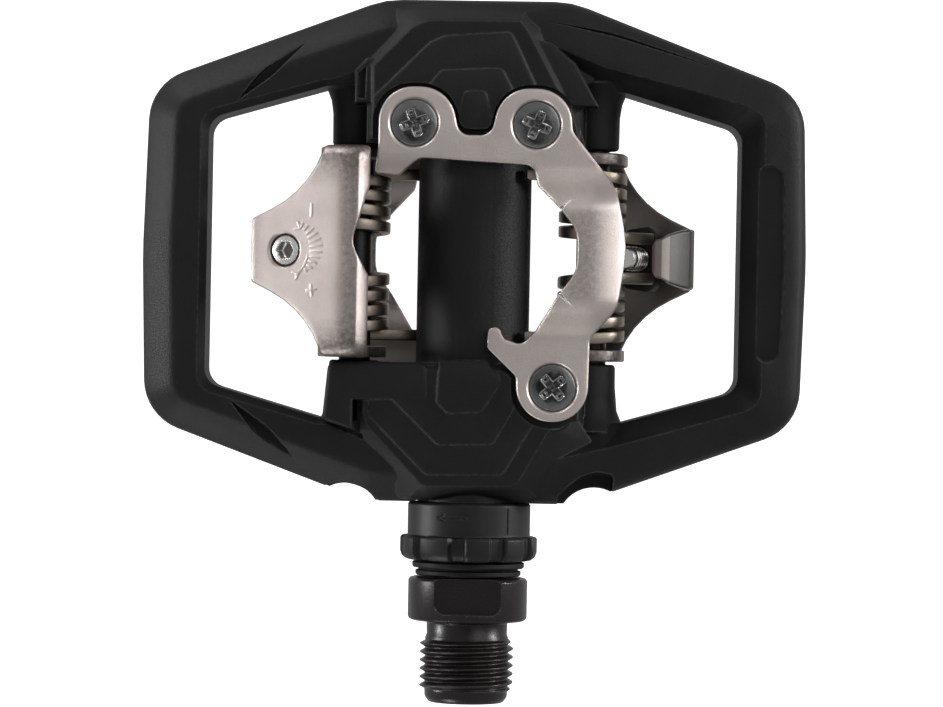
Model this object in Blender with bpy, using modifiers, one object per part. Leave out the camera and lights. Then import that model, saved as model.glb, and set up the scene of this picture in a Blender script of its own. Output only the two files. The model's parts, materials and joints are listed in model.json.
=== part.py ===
"""A two-sided clipless bicycle pedal: cast cage body, axle unit, and on each face a fixed cleat plate
and a sprung claw.

Frame: +X fore and aft, +Y along the axle away from the crank, +Z out of one face. The origin is the
middle of the whole pedal's box, on the axle. The two faces are the same, turned half a turn about Y.
Shapes are written in millimetres from the pedal's own centre, and make() turns them into metres.
"""

import math

import bmesh
import bpy
from mathutils import Matrix, Vector

MM = 0.001
CENTRE_Y = 15.1  # the pedal's centre, outboard of the origin
GAP = 0.15  # between touching pieces
HALF_TURN = Matrix.Rotation(math.pi, 4, "Y")  # takes one face to the other
SIDES = {"a": Matrix.Identity(4), "b": HALF_TURN}

# Cast body
CAGE_HALF_HEIGHT = 8.0
CAGE_EDGE_HALF_HEIGHT = 4.6
CAGE_BEVEL = 4.4
BLOCK_HALF_HEIGHT = 10.5
BLOCK_SHOULDER = 6.5
TUBE_RADIUS = 8.55
BORE_RADIUS = 6.4
BORE_END = 32.0
LOCK_BORE_RADIUS = 7.6
LOCK_BORE_END = -24.0
CRANK_END = -37.8
BOSS_RADIUS = 3.8
POCKET_FLOOR = 8.7

# Claw, pin and springs
PIN_OUT = 17.9  # from the axle to the pin
PIN_RADIUS = 2.4
PIN_HALF_LENGTH = 23.5
CLAW_MIDDLE_Y = -0.4
CLAW_HALF_WIDTH = 15.8
SHEET = 1.8
SLOPE = math.radians(26.5)
RIDGE = (18.8, 15.6)  # out, up
HOOK_TIP = (15.7, 13.6)
CLAW_END = 33.5
SCREW_AT = 28.4
ADJUSTER = (-7.4, -5.0)  # the adjuster plate's two faces, along the tension screw
COIL_RADIUS = 4.3
WIRE = 1.7
COIL_PITCH = 2.25
COIL_START = 3.05

# Fixed plate and its screws
PLATE = 2.0
PLATE_TOP = 11.0
HOOK_TOP = 15.4
PLATE_SCREWS = ((-9.3, 19.0), (9.0, 19.0), (12.1, -20.2))
PLATE_HEAD_RADIUS = 3.5
PLATE_SHANK_RADIUS = 2.0
PLATE_SCREW_DEPTH = 3.0

# Axle unit: places along the axle
FLANGE = (-55.8, -49.2)
FLANGE_RADIUS = 9.05
FLAT_HALF = 7.5
THREAD = (-66.5, -58.5)
THREAD_RADII = (6.25, 7.1)
THREAD_PITCH = 1.27
AXLE_TIP = -68.2
JOURNAL_RADIUS = 5.0
BALL_RADIUS = 1.19
BALL_CIRCLE = 4.6
BALLS = 12
BALL_ROWS = {"inner": 12.0, "outer": 22.0}
COLLAR = (-46.7, -42.9)
COLLAR_RIDGES = 10

MATERIALS = {  # base colour, metallic, roughness
    "black_casting": ((0.022, 0.022, 0.024), 0.0, 0.55),
    "plate_steel": ((0.56, 0.51, 0.48), 1.0, 0.32),
    "spring_steel": ((0.42, 0.37, 0.29), 1.0, 0.4),
    "screw_steel": ((0.4, 0.41, 0.42), 1.0, 0.3),
    "adjuster_steel": ((0.03, 0.03, 0.032), 0.6, 0.45),
    "black_steel": ((0.035, 0.031, 0.029), 0.8, 0.35),
    "resin": ((0.03, 0.03, 0.032), 0.0, 0.5),
    "rubber": ((0.012, 0.012, 0.012), 0.0, 0.8),
    "bearing_steel": ((0.6, 0.6, 0.6), 1.0, 0.15),
}


def clear_scene():
    for obj in list(bpy.data.objects):
        bpy.data.objects.remove(obj)
    for collection in list(bpy.data.collections):
        bpy.data.collections.remove(collection)


def new_collection(name):
    collection = bpy.data.collections.new(name)
    bpy.context.scene.collection.children.link(collection)
    return collection


def material(slot):
    found = bpy.data.materials.get(slot)
    if found:
        return found
    colour, metallic, roughness = MATERIALS[slot]
    made = bpy.data.materials.new(slot)
    made.use_nodes = True
    shader = made.node_tree.nodes["Principled BSDF"]
    shader.inputs["Base Color"].default_value = (*colour, 1)
    shader.inputs["Metallic"].default_value = metallic
    shader.inputs["Roughness"].default_value = roughness
    return made


def make(name, bm, slot=None, origin=(0, 0, 0), side="a"):
    """The object of a bmesh in millimetres. With no slot it is a hidden cutter."""
    bm.normal_update()
    bmesh.ops.recalc_face_normals(bm, faces=bm.faces)
    origin = Vector(origin)
    to_local = Matrix.Scale(MM, 4) @ Matrix.Translation(-origin)
    bm.transform(to_local)
    mesh = bpy.data.meshes.new(name)
    bm.to_mesh(mesh)
    bm.free()
    obj = bpy.data.objects.new(name, mesh)
    centre = Matrix.Translation((0, CENTRE_Y * MM, 0))
    obj.matrix_world = centre @ SIDES[side] @ Matrix.Translation(origin * MM)
    if slot:
        parts.objects.link(obj)
        mesh.materials.append(material(slot))
        mesh.shade_smooth()
        mesh.set_sharp_from_angle(angle=math.radians(35))
    else:
        cutters.objects.link(obj)
        obj.hide_render = True
        obj.display_type = "WIRE"
    return obj


def boolean(obj, cutter, operation="DIFFERENCE"):
    modifier = obj.modifiers.new(cutter.name, "BOOLEAN")
    modifier.operation = operation
    modifier.object = cutter


def rounded(corners, arc_step=math.radians(24)):
    """The outline through (x, y, radius) corners, each rounded by an arc of its radius."""
    points = []
    for i, (x, y, radius) in enumerate(corners):
        corner = Vector((x, y))
        back = (Vector(corners[i - 1][:2]) - corner).normalized()
        ahead = (Vector(corners[(i + 1) % len(corners)][:2]) - corner).normalized()
        turn = math.pi - back.angle(ahead)
        if radius * turn < 0.05:
            points.append(corner)
            continue
        start = corner + back * radius * math.tan(turn / 2)
        centre = corner + (back + ahead).normalized() * radius / math.cos(turn / 2)
        left = 1 if back.cross(ahead) < 0 else -1
        steps = max(1, round(turn / arc_step))
        for step in range(steps + 1):
            angle = left * turn * step / steps
            points.append(centre + Matrix.Rotation(angle, 2) @ (start - centre))
    return points


def mirrored(corners):
    """Right-hand corners, followed round by the same ones on the left."""
    return [*corners, *[(-x, y, radius) for x, y, radius in reversed(corners)]]


def inset(points, distance):
    """A clockwise outline moved inwards."""
    moved = []
    for i, point in enumerate(points):
        back = (point - points[i - 1]).normalized()
        ahead = (points[(i + 1) % len(points)] - point).normalized()
        inward = Vector((back.y + ahead.y, -back.x - ahead.x)).normalized()
        share = max(0.5, inward.dot(Vector((ahead.y, -ahead.x))))
        moved.append(point + inward * distance / share)
    return moved


def loft(rings):
    """A closed solid through rings of as many points each, with flat ends."""
    bm = bmesh.new()
    made = [[bm.verts.new(point) for point in ring] for ring in rings]
    for low, high in zip(made, made[1:]):
        for i in range(len(low)):
            j = (i + 1) % len(low)
            bm.faces.new((low[i], low[j], high[j], high[i]))
    bm.faces.new(made[0])
    bm.faces.new(made[-1])
    return bm


def slab(points, low, high):
    """A flat outline in X and Y, filled from low to high."""
    return loft([[(x, y, z) for x, y in points] for z in (low, high)])


def cylinder(start, end, radius, segments=24, end_radius=None):
    """A round bar between two points, tapered where end_radius is given."""
    start, end = Vector(start), Vector(end)
    along = end - start
    bm = bmesh.new()
    turn = along.to_track_quat("Z", "Y").to_matrix().to_4x4()
    bmesh.ops.create_cone(
        bm,
        cap_ends=True,
        segments=segments,
        radius1=radius,
        radius2=radius if end_radius is None else end_radius,
        depth=along.length,
        matrix=Matrix.Translation((start + end) / 2) @ turn,
    )
    return bm


def turned(name, outer, slot=None, inner=(), segments=32, side="a"):
    """A solid of revolution about the axle. Its (y, radius) points run from the outboard end."""
    bm = bmesh.new()
    verts = [bm.verts.new((radius, 0, y)) for y, radius in (*outer, *inner)]
    for low, high in zip(verts, verts[1:]):
        bm.edges.new((low, high))
    if inner:
        bm.edges.new((verts[-1], verts[0]))
    obj = make(name, bm, slot, side=side)
    obj.matrix_world = obj.matrix_world @ Matrix.Rotation(-math.pi / 2, 4, "X")
    screw = obj.modifiers.new("turn", "SCREW")
    screw.steps = segments
    screw.render_steps = segments
    screw.use_merge_vertices = True
    screw.merge_threshold = 0.01 * MM
    return obj


def sheet(outline, height, cuts, thickness):
    """Sheet metal over a flat outline, bent to height(x, y) along straight cuts of (point, normal)."""
    bm = bmesh.new()
    bm.faces.new([bm.verts.new((x, y, 0)) for x, y in outline])
    for point, normal in cuts:
        bmesh.ops.bisect_plane(
            bm,
            geom=[*bm.verts, *bm.edges, *bm.faces],
            plane_co=(*point, 0),
            plane_no=(*normal, 0),
        )
    bmesh.ops.triangulate(bm, faces=bm.faces)
    for vert in bm.verts:
        vert.co.z = height(vert.co.x, vert.co.y)
    top = list(bm.faces)
    made = bmesh.ops.extrude_face_region(bm, geom=top, use_keep_orig=True)
    for vert in made["geom"]:
        if isinstance(vert, bmesh.types.BMVert):
            vert.co.z -= thickness
    return bm


def ramp(value, start, end):
    """0 before start, 1 past end, straight between."""
    return min(1.0, max(0.0, (value - start) / (end - start)))


# ---------------------------------------------------------------- cast body


CAGE_CORNERS = (
    (14.0, 38.0, 14.0),
    (49.4, 24.6, 8.0),
    (50.1, -0.8, 60.0),
    (49.4, -25.6, 8.0),
    (16.0, CRANK_END, 9.0),
)
WINDOW_CORNERS = (
    (40.1, 19.3, 3.0),
    (40.1, -20.4, 3.0),
    (22.9, -25.3, 0.8),
    (17.0, -25.3, 0),
    (17.0, -16.8, 0),
    (2.0, -16.8, 0),
    (2.0, 16.0, 0),
    (16.4, 16.0, 0),
    (16.4, 24.5, 0),
    (22.4, 24.5, 0.8),
)
OUTBOARD_BLOCK = (
    ((16.2, 16.2), (16.2, 25.4), (19.4, 28.2), (11.5, 37.2)),
    ((15.1, 16.6), (15.1, 24.4), (15.3, 28.4), (8.5, 35.6)),
)
CRANK_BLOCK = (
    ((16.8, -17.0), (16.8, -26.2), (19.0, -28.8), (10.0, -37.6)),
    ((16.1, -17.4), (16.1, -25.2), (16.3, -28.2), (8.0, -36.6)),
)
PLATE_POCKETS = (
    (
        (-15.5, 11.0, 0),
        (-15.5, 25.0, 5.8),
        (-3.4, 25.0, 5.8),
        (-2.4, 18.2, 1.5),
        (2.2, 18.2, 1.5),
        (3.0, 25.0, 5.8),
        (15.1, 25.0, 5.8),
        (15.1, 19.0, 0),
        (17.6, 15.9, 0),
        (17.6, 11.0, 0),
    ),
    (
        (2.6, -15.6, 0),
        (18.4, -15.6, 0),
        (18.4, -26.3, 5.8),
        (5.9, -26.3, 5.8),
        (5.9, -18.9, 0),
    ),
)
NOTCH = (19.0, -38.8, 3.4)


def cage_ring():
    outline = rounded(mirrored(CAGE_CORNERS))
    edge = [(x, y) for x, y in outline]
    face = [(x, y) for x, y in inset(outline, CAGE_BEVEL)]
    rings = (
        (face, -CAGE_HALF_HEIGHT),
        (edge, -CAGE_EDGE_HALF_HEIGHT),
        (edge, CAGE_EDGE_HALF_HEIGHT),
        (face, CAGE_HALF_HEIGHT),
    )
    return loft([[(x, y, z) for x, y in ring] for ring, z in rings])


def block(wide, narrow):
    """One end's block: straight sides up to the shoulder, then sloping in to its face."""

    def ring(half, z):
        return [(x, y, z) for x, y in half] + [(-x, y, z) for x, y in reversed(half)]

    return loft(
        [
            ring(narrow, -BLOCK_HALF_HEIGHT),
            ring(wide, -BLOCK_SHOULDER),
            ring(wide, BLOCK_SHOULDER),
            ring(narrow, BLOCK_HALF_HEIGHT),
        ]
    )


def pedal_casting():
    body = make("pedal_casting", cage_ring(), "black_casting")
    deep = BLOCK_HALF_HEIGHT + 5
    for sign in (-1, 1):
        window = [(sign * x, y) for x, y in rounded(WINDOW_CORNERS)]
        boolean(body, make("window_cutter", slab(window, -deep, deep)))
    additions = [
        block(*OUTBOARD_BLOCK),
        block(*CRANK_BLOCK),
        cylinder((0, -34, 0), (0, 34, 0), TUBE_RADIUS, 40),
    ]
    for out in (-PIN_OUT, PIN_OUT):
        additions.append(cylinder((out, 15.8, 0), (out, 26.5, 0), BOSS_RADIUS, 20))
        additions.append(cylinder((out, -16.6, 0), (out, -28.0, 0), BOSS_RADIUS, 20))
    for addition in additions:
        boolean(body, make("joined_shape", addition), "UNION")
    x, y, radius = NOTCH
    removals = [
        cylinder((0, BORE_END, 0), (0, -45, 0), BORE_RADIUS, 32),
        cylinder((0, LOCK_BORE_END, 0), (0, -45, 0), LOCK_BORE_RADIUS, 32),
        cylinder((x, y, -deep), (x, y, deep), radius, 20),
        cylinder((-x, y, -deep), (-x, y, deep), radius, 20),
    ]
    for out in (-PIN_OUT, PIN_OUT):
        end = PIN_HALF_LENGTH + GAP
        removals.append(cylinder((out, -end, 0), (out, end, 0), PIN_RADIUS + GAP, 20))
    for removal in removals:
        boolean(body, make("removed_shape", removal))
    for side in SIDES:
        for corners in PLATE_POCKETS:
            pocket = slab(rounded(corners), POCKET_FLOOR, deep)
            boolean(body, make("plate_pocket", pocket, side=side))
        for x, y in PLATE_SCREWS:
            low = PLATE_SCREW_DEPTH - GAP
            hole = cylinder((x, y, low), (x, y, deep), PLATE_SHANK_RADIUS + GAP, 16)
            boolean(body, make("plate_screw_hole", hole, side=side))


# ---------------------------------------------------------------- fixed cleat plates


PLATE_CORNERS = (
    (-14.6, 24.4, 5.2),
    (-4.1, 24.4, 5.2),
    (-2.6, 17.3, 2.0),
    (2.2, 17.3, 2.0),
    (3.8, 24.4, 5.2),
    (14.3, 24.4, 5.2),
    (14.3, 18.2, 2.0),
    (20.9, 10.0, 7.0),
    (22.8, 1.0, 16.0),
    (21.4, -8.4, 7.0),
    (17.5, -12.8, 1.5),
    (17.3, -25.3, 5.2),
    (6.9, -25.3, 5.2),
    (6.6, -18.6, 1.5),
    (2.2, -14.4, 0.9),
    (2.3, -11.5, 0.8),
    (3.9, -11.2, 0.8),
    (4.7, -13.0, 1.0),
    (7.4, -13.9, 1.6),
    (9.2, -12.0, 0.8),
    (12.7, -6.2, 0),
    (16.0, -2.6, 5.0),
    (16.0, 3.0, 5.0),
    (12.6, 6.5, 0),
    (9.3, 9.9, 1.0),
    (8.6, 13.0, 1.5),
    (-8.4, 13.8, 2.0),
    (-11.4, 11.2, 0.8),
    (-15.1, 11.4, 0.5),
    (-14.6, 15.5, 1.0),
)
ARM_BEND = (12.7, 6.9)  # the arm rises between these two places, from the lobes to the hook


def plate_height(x, y):
    rise = ramp(abs(y + 0.3), *ARM_BEND) * ramp(x, 5.0, 9.0)
    over = HOOK_TOP - PLATE_TOP - 1.9 * ramp(x, 18.4, 22.8)
    drop = 1.4 * ramp(y, 13.6, 11.4) * ramp(x, -7.4, -9.6)
    return PLATE_TOP + rise * over - drop


def fixed_plate(side):
    high, low = ARM_BEND
    cuts = [((0, y - 0.3), (0, 1)) for y in (high, low, -low, -high)]
    cuts += [((x, 0), (1, 0)) for x in (-9.6, -7.4, 5.0, 9.0, 18.4, 20.6)]
    cuts += [((0, 13.6), (0, 1))]
    bm = sheet(rounded(PLATE_CORNERS), plate_height, cuts, PLATE)
    plate = make(f"fixed_plate_{side}", bm, "plate_steel", side=side)
    for x, y in PLATE_SCREWS:
        base = PLATE_TOP - PLATE
        hole = cylinder((x, y, base - 1), (x, y, PLATE_TOP + 1), PLATE_SHANK_RADIUS + 2 * GAP, 20)
        boolean(plate, make("screw_hole", hole, side=side))
        seat = cylinder(
            (x, y, PLATE_TOP - 1.6),
            (x, y, PLATE_TOP + 0.2),
            PLATE_SHANK_RADIUS + 2 * GAP,
            20,
            PLATE_HEAD_RADIUS + 3 * GAP,
        )
        boolean(plate, make("screw_seat", seat, side=side))


def plate_screw(name, x, y, side):
    top = PLATE_TOP - 0.1
    neck = top - 1.5
    head = cylinder((x, y, neck), (x, y, top), PLATE_SHANK_RADIUS, 20, PLATE_HEAD_RADIUS)
    screw = make(name, head, "screw_steel", side=side)
    shank = cylinder((x, y, PLATE_SCREW_DEPTH), (x, y, neck + 0.2), PLATE_SHANK_RADIUS, 20)
    boolean(screw, make("shank", shank, side=side), "UNION")
    for angle in (20, 110):
        blade = box((4.2, 1.0, 2.4))
        blade.transform(
            Matrix.Translation((x, y, top)) @ Matrix.Rotation(math.radians(angle), 4, "Z")
        )
        boolean(screw, make("cross_recess", blade, side=side))


def box(size):
    bm = bmesh.new()
    bmesh.ops.create_cube(bm, size=1)
    bmesh.ops.scale(bm, vec=size, verts=bm.verts)
    return bm


# ---------------------------------------------------------------- claws


def claw_corners():
    """The claw's outline seen from its face, out from the axle along -X."""
    half = (
        (15.7, CLAW_HALF_WIDTH, 0.6),
        (22.4, CLAW_HALF_WIDTH, 1.0),
        (25.2, 9.0, 15.0),
        (33.4, 4.7, 0.8),
    )
    notch = ((15.7, 9.6, 1.0), (17.0, 5.4, 3.0), (18.2, 1.3, 4.0), (15.7, -3.6, 1.0))
    right = [(-out, y, radius) for out, y, radius in half]
    left = [(-out, -y, radius) for out, y, radius in reversed(half)]
    inner = [(-out, y, radius) for out, y, radius in reversed(notch)]
    return [(x, y + CLAW_MIDDLE_Y, radius) for x, y, radius in right + left + inner]


def claw_height(x, _y):
    out = -x
    if out < RIDGE[0]:
        share = ramp(out, HOOK_TIP[0], RIDGE[0] - 1.4)
        return HOOK_TIP[1] + share * (RIDGE[1] - HOOK_TIP[1])
    return RIDGE[1] - (out - RIDGE[0]) * math.tan(SLOPE)


def ear(y_low, y_high):
    """One of the claw's two ears, a plate across the pin."""
    points = []
    for step in range(13):
        angle = math.radians(180 + 15 * step)
        points.append((PIN_OUT + 4.8 * math.cos(angle), 4.8 * math.sin(angle)))
    points += [(23.4, 7.0), (22.2, 13.2), (18.6, 14.8), (17.0, 14.6), (15.9, 13.0), (15.7, 7.0)]
    return loft([[(-out, y, up) for out, up in points] for y in (y_low, y_high)])


def tongue():
    """The claw's end, folded towards the other face and back in."""
    wall = SHEET * 0.9
    end_up = claw_height(-CLAW_END, 0)
    path = (
        (CLAW_END, end_up),
        (CLAW_END, -1.9),
        (CLAW_END - 1.0, -2.9),
        (27.2, -2.9),
        (27.2, -2.9 + wall),
        (CLAW_END - wall - 0.3, -2.9 + wall),
        (CLAW_END - wall, -2.9 + wall + 0.4),
        (CLAW_END - wall, end_up - 0.4),
    )
    rings = []
    for y in (-4.2, 4.2):
        rings.append([(-out, y + CLAW_MIDDLE_Y, up) for out, up in path])
    return loft(rings)


def screw_frame():
    """Where the tension screw's axis leaves the claw's face, with +Z out along it."""
    point = Vector((-SCREW_AT, CLAW_MIDDLE_Y, claw_height(-SCREW_AT, 0)))
    return Matrix.Translation(point) @ Matrix.Rotation(-SLOPE, 4, "Y")


def claw(side):
    pin = (-PIN_OUT, CLAW_MIDDLE_Y, 0)
    cuts = [((-out, 0), (1, 0)) for out in (RIDGE[0] - 1.4, RIDGE[0])]
    bm = sheet(rounded(claw_corners()), claw_height, cuts, SHEET / math.cos(SLOPE))
    body = make(f"claw_{side}", bm, "plate_steel", origin=pin, side=side)
    inner = CLAW_HALF_WIDTH - SHEET
    for y in (inner, -CLAW_HALF_WIDTH):
        low = y + CLAW_MIDDLE_Y + 0.02
        made = make("ear", ear(low, low + SHEET - 0.04), side=side)
        boolean(body, made, "UNION")
    boolean(body, make("tongue", tongue(), side=side), "UNION")
    bar = cylinder((-PIN_OUT, -30, 0), (-PIN_OUT, 30, 0), PIN_RADIUS + GAP, 20)
    boolean(body, make("pin_hole", bar, side=side))
    hole = cylinder((0, 0, -3), (0, 0, 3), 2.55, 20)
    hole.transform(screw_frame())
    boolean(body, make("tension_screw_hole", hole, side=side))


def tension_screw(side):
    """Its head fills the claw's hole, and its flange bears on the claw from inside."""
    frame = screw_frame()
    head = cylinder((0, 0, -2.6), (0, 0, -0.2), 2.25, 24)
    head.transform(frame)
    axis_point = frame @ Vector((0, 0, 0))
    screw = make(f"tension_screw_{side}", head, "screw_steel", origin=axis_point, side=side)
    flange = cylinder((0, 0, -3.1), (0, 0, -SHEET - 0.25), 3.3, 24)
    shank = cylinder((0, 0, -12.4), (0, 0, -2.5), 1.9, 16)
    for shape in (flange, shank):
        shape.transform(frame)
        boolean(screw, make("screw_shape", shape, side=side), "UNION")
    socket = cylinder((0, 0, -1.9), (0, 0, 1), 1.45, 6)
    socket.transform(frame)
    boolean(screw, make("hex_socket", socket, side=side))


def adjuster_plate(side):
    """The nut plate on the tension screw, which the springs push on."""
    frame = screw_frame()
    corners = ((-3.0, 5.2, 1.6), (2.8, 4.4, 1.6), (2.8, -4.4, 1.6), (-3.0, -5.2, 1.6))
    bm = slab(rounded(corners), *ADJUSTER)
    bm.transform(frame)
    axis_point = frame @ Vector((0, 0, 0))
    plate = make(f"adjuster_plate_{side}", bm, "adjuster_steel", origin=axis_point, side=side)
    hole = cylinder((0, 0, -20), (0, 0, 0), 1.9 + GAP, 16)
    hole.transform(frame)
    boolean(plate, make("screw_thread", hole, side=side))


def spring_points(sign):
    """A torsion spring's centre line: leg on the adjuster plate, coil, leg on the axle tube."""
    leg_tip = Vector((26.9, 2.0))
    rest_tip = Vector((7.7, -5.6))
    pin = Vector((PIN_OUT, 0))

    def touch(tip, turn):
        away = tip - pin
        return math.atan2(away.y, away.x) + turn * math.acos(COIL_RADIUS / away.length)

    first = touch(leg_tip, -1)
    last = touch(rest_tip, 1) - 4 * 2 * math.pi
    steps = round((first - last) / math.radians(30))
    points = [(leg_tip.x, COIL_START, leg_tip.y)]
    for step in range(steps + 1):
        angle = first + (last - first) * step / steps
        out = PIN_OUT + COIL_RADIUS * math.cos(angle)
        along = COIL_START + COIL_PITCH * (first - angle) / (2 * math.pi)
        points.append((out, along, COIL_RADIUS * math.sin(angle)))
    points.append((rest_tip.x, points[-1][1], rest_tip.y))
    return [(-out, CLAW_MIDDLE_Y + sign * along, up) for out, along, up in points]


def torsion_spring(name, sign, side):
    curve = bpy.data.curves.new(name, "CURVE")
    curve.dimensions = "3D"
    curve.bevel_depth = WIRE / math.sqrt(2) * MM
    curve.bevel_resolution = 0
    curve.use_fill_caps = True
    spline = curve.splines.new("POLY")
    points = spring_points(sign)
    spline.points.add(len(points) - 1)
    for point, place in zip(spline.points, points):
        point.co = (*(Vector(place) * MM), 1)
        point.tilt = math.pi / 4
    obj = bpy.data.objects.new(name, curve)
    obj.matrix_world = Matrix.Translation((0, CENTRE_Y * MM, 0)) @ SIDES[side]
    curve.materials.append(material("spring_steel"))
    parts.objects.link(obj)


def pivot_pin(side):
    out = -PIN_OUT
    ends = (out, -PIN_HALF_LENGTH, 0), (out, PIN_HALF_LENGTH, 0)
    make(f"pivot_pin_{side}", cylinder(*ends, PIN_RADIUS, 20), "black_steel", side=side)


# ---------------------------------------------------------------- axle unit


def spindle():
    outer = [(31.0, 0), (31.0, 2.4), (18.0, 2.4), (18.0, 3.3), (10.6, 3.3), (10.4, 4.4)]
    outer += [(-15.0, 4.4), (-20.0, JOURNAL_RADIUS), (FLANGE[1], JOURNAL_RADIUS)]
    outer += [(FLANGE[1], FLANGE_RADIUS - 0.6), (FLANGE[1] - 0.6, FLANGE_RADIUS)]
    outer += [(FLANGE[0], FLANGE_RADIUS), (FLANGE[0], 6.5), (FLANGE[0] - 0.4, 6.1)]
    root, crest = THREAD_RADII
    outer += [(THREAD[1], root)]
    grooves = int((THREAD[1] - THREAD[0]) / THREAD_PITCH)
    for groove in range(grooves):
        y = THREAD[1] - groove * THREAD_PITCH
        outer += [(y - 0.45 * THREAD_PITCH, crest), (y - 0.65 * THREAD_PITCH, crest)]
        outer += [(y - THREAD_PITCH, root)]
    outer += [(AXLE_TIP + 0.8, 6.3), (AXLE_TIP, 5.6), (AXLE_TIP, 0)]
    axle = turned("spindle", outer, "black_steel", segments=30)
    for sign in (-1, 1):
        flat = box((24, FLANGE[1] - FLANGE[0], 4))
        flat.transform(Matrix.Translation((0, FLANGE[0] + 1.2 + 3.3, sign * (FLAT_HALF + 2))))
        boolean(axle, make("wrench_flat", flat))
    socket = cylinder((0, AXLE_TIP - 2, 0), (0, AXLE_TIP + 8, 0), 4.0 / math.cos(math.pi / 6), 6)
    boolean(axle, make("hex_socket", socket))


def lock_bolt():
    """The resin ring that holds the axle unit in the body, splined for its tool."""
    thread_radius = LOCK_BORE_RADIUS - GAP
    outer = ((-25.0, 0), (-25.0, thread_radius), (-37.95, thread_radius), (-37.95, 9.3))
    outer += ((COLLAR[0], 9.3), (COLLAR[0], 0))
    bolt = turned("lock_bolt", outer, "resin", segments=40)
    outline = []
    for ridge in range(COLLAR_RIDGES):
        middle = ridge * 2 * math.pi / COLLAR_RIDGES
        for offset, radius in ((-0.24, 9.7), (-0.17, 10.4), (0.17, 10.4), (0.24, 9.7)):
            outline.append((radius * math.sin(middle + offset), radius * math.cos(middle + offset)))
    splines = loft([[(x, y, z) for x, z in outline] for y in (COLLAR[0] + 0.05, COLLAR[1])])
    collar = make("splines", splines)
    boolean(bolt, collar, "UNION")
    boolean(bolt, make("lock_bolt_bore", cylinder((0, -50, 0), (0, -20, 0), 5.9, 40)))


def axle_unit():
    spindle()
    lock_bolt()
    seal = ((-46.9, 8.5), (-47.7, 8.5), (-47.95, 7.4), (-48.2, 8.0), (-49.0, 8.0))
    turned("axle_seal", seal, "rubber", ((-49.0, 5.2), (-46.9, 5.2)))
    turned("inboard_bush", ((-31.0, 5.75), (-44.0, 5.75)), "resin", ((-44.0, 5.12), (-31.0, 5.12)))
    race, sleeve, bore = BALL_CIRCLE + BALL_RADIUS + 0.06, BORE_RADIUS - GAP, 4.75
    inner = ((9.6, race), (13.4, race), (13.8, bore), (20.2, bore), (20.6, race), (24.6, race))
    turned("bearing_sleeve", ((24.6, sleeve), (9.6, sleeve)), "bearing_steel", inner)
    cone = ((25.5, 4.4), (23.5, 4.4), (23.3, 3.3), (19.0, 3.3))
    turned("bearing_cone", cone, "bearing_steel", ((19.0, 2.55), (25.5, 2.55)))
    turned("axle_washer", ((26.6, 4.2), (25.7, 4.2)), "bearing_steel", ((25.7, 2.55), (26.6, 2.55)))
    nut = make("lock_nut", cylinder((0, 26.8, 0), (0, 30.0, 0), 4.6, 6), "bearing_steel")
    boolean(nut, make("nut_thread", cylinder((0, 20, 0), (0, 40, 0), 2.55, 20)))


def ball_row(name, y):
    for ball in range(BALLS):
        angle = ball * 2 * math.pi / BALLS
        bm = bmesh.new()
        bmesh.ops.create_icosphere(bm, subdivisions=1, radius=BALL_RADIUS)
        place = (BALL_CIRCLE * math.cos(angle), y, BALL_CIRCLE * math.sin(angle))
        bm.transform(Matrix.Translation(place))
        make(f"{name}_ball_{ball + 1:02d}", bm, "bearing_steel", origin=place)


clear_scene()
parts = new_collection("clipless_pedal")
cutters = new_collection("cutters")
pedal_casting()
axle_unit()
for row, row_y in BALL_ROWS.items():
    ball_row(row, row_y)
for face in SIDES:
    fixed_plate(face)
    for number, (screw_x, screw_y) in enumerate(PLATE_SCREWS, 1):
        plate_screw(f"plate_screw_{face}{number}", screw_x, screw_y, face)
    claw(face)
    tension_screw(face)
    adjuster_plate(face)
    pivot_pin(face)
    torsion_spring(f"torsion_spring_{face}_outboard", 1, face)
    torsion_spring(f"torsion_spring_{face}_crank", -1, face)
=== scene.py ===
"""A two-sided clipless bicycle pedal in a bright studio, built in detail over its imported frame.

Shapes are written in millimetres from the pedal's own centre, with face a upwards. Pieces of face b
are those of face a, turned half a turn about the axle.
"""

import json
import math

import bmesh
import bpy
from mathutils import Matrix, Vector


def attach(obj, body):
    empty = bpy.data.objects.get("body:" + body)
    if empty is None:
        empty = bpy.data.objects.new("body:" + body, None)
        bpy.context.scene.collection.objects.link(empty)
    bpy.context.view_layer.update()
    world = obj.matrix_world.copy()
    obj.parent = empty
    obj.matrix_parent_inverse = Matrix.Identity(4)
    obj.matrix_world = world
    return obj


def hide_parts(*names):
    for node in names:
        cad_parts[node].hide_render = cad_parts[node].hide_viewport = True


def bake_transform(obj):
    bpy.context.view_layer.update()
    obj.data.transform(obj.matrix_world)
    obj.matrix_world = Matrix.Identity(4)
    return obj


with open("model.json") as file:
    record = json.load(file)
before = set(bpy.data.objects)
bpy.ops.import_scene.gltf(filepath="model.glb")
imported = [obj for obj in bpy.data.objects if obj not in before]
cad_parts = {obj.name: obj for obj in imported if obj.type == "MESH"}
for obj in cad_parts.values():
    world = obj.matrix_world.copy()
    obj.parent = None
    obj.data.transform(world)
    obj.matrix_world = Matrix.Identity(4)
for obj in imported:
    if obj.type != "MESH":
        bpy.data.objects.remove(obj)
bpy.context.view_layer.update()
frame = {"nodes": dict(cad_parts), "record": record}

MM = 0.001
CENTRE_Y = 15.1
HALF_TURN = Matrix.Rotation(math.pi, 4, "Y")
SIDES = {"a": Matrix.Identity(4), "b": HALF_TURN}
ARC = math.radians(9)  # the most that one step of a rounded corner turns

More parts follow.
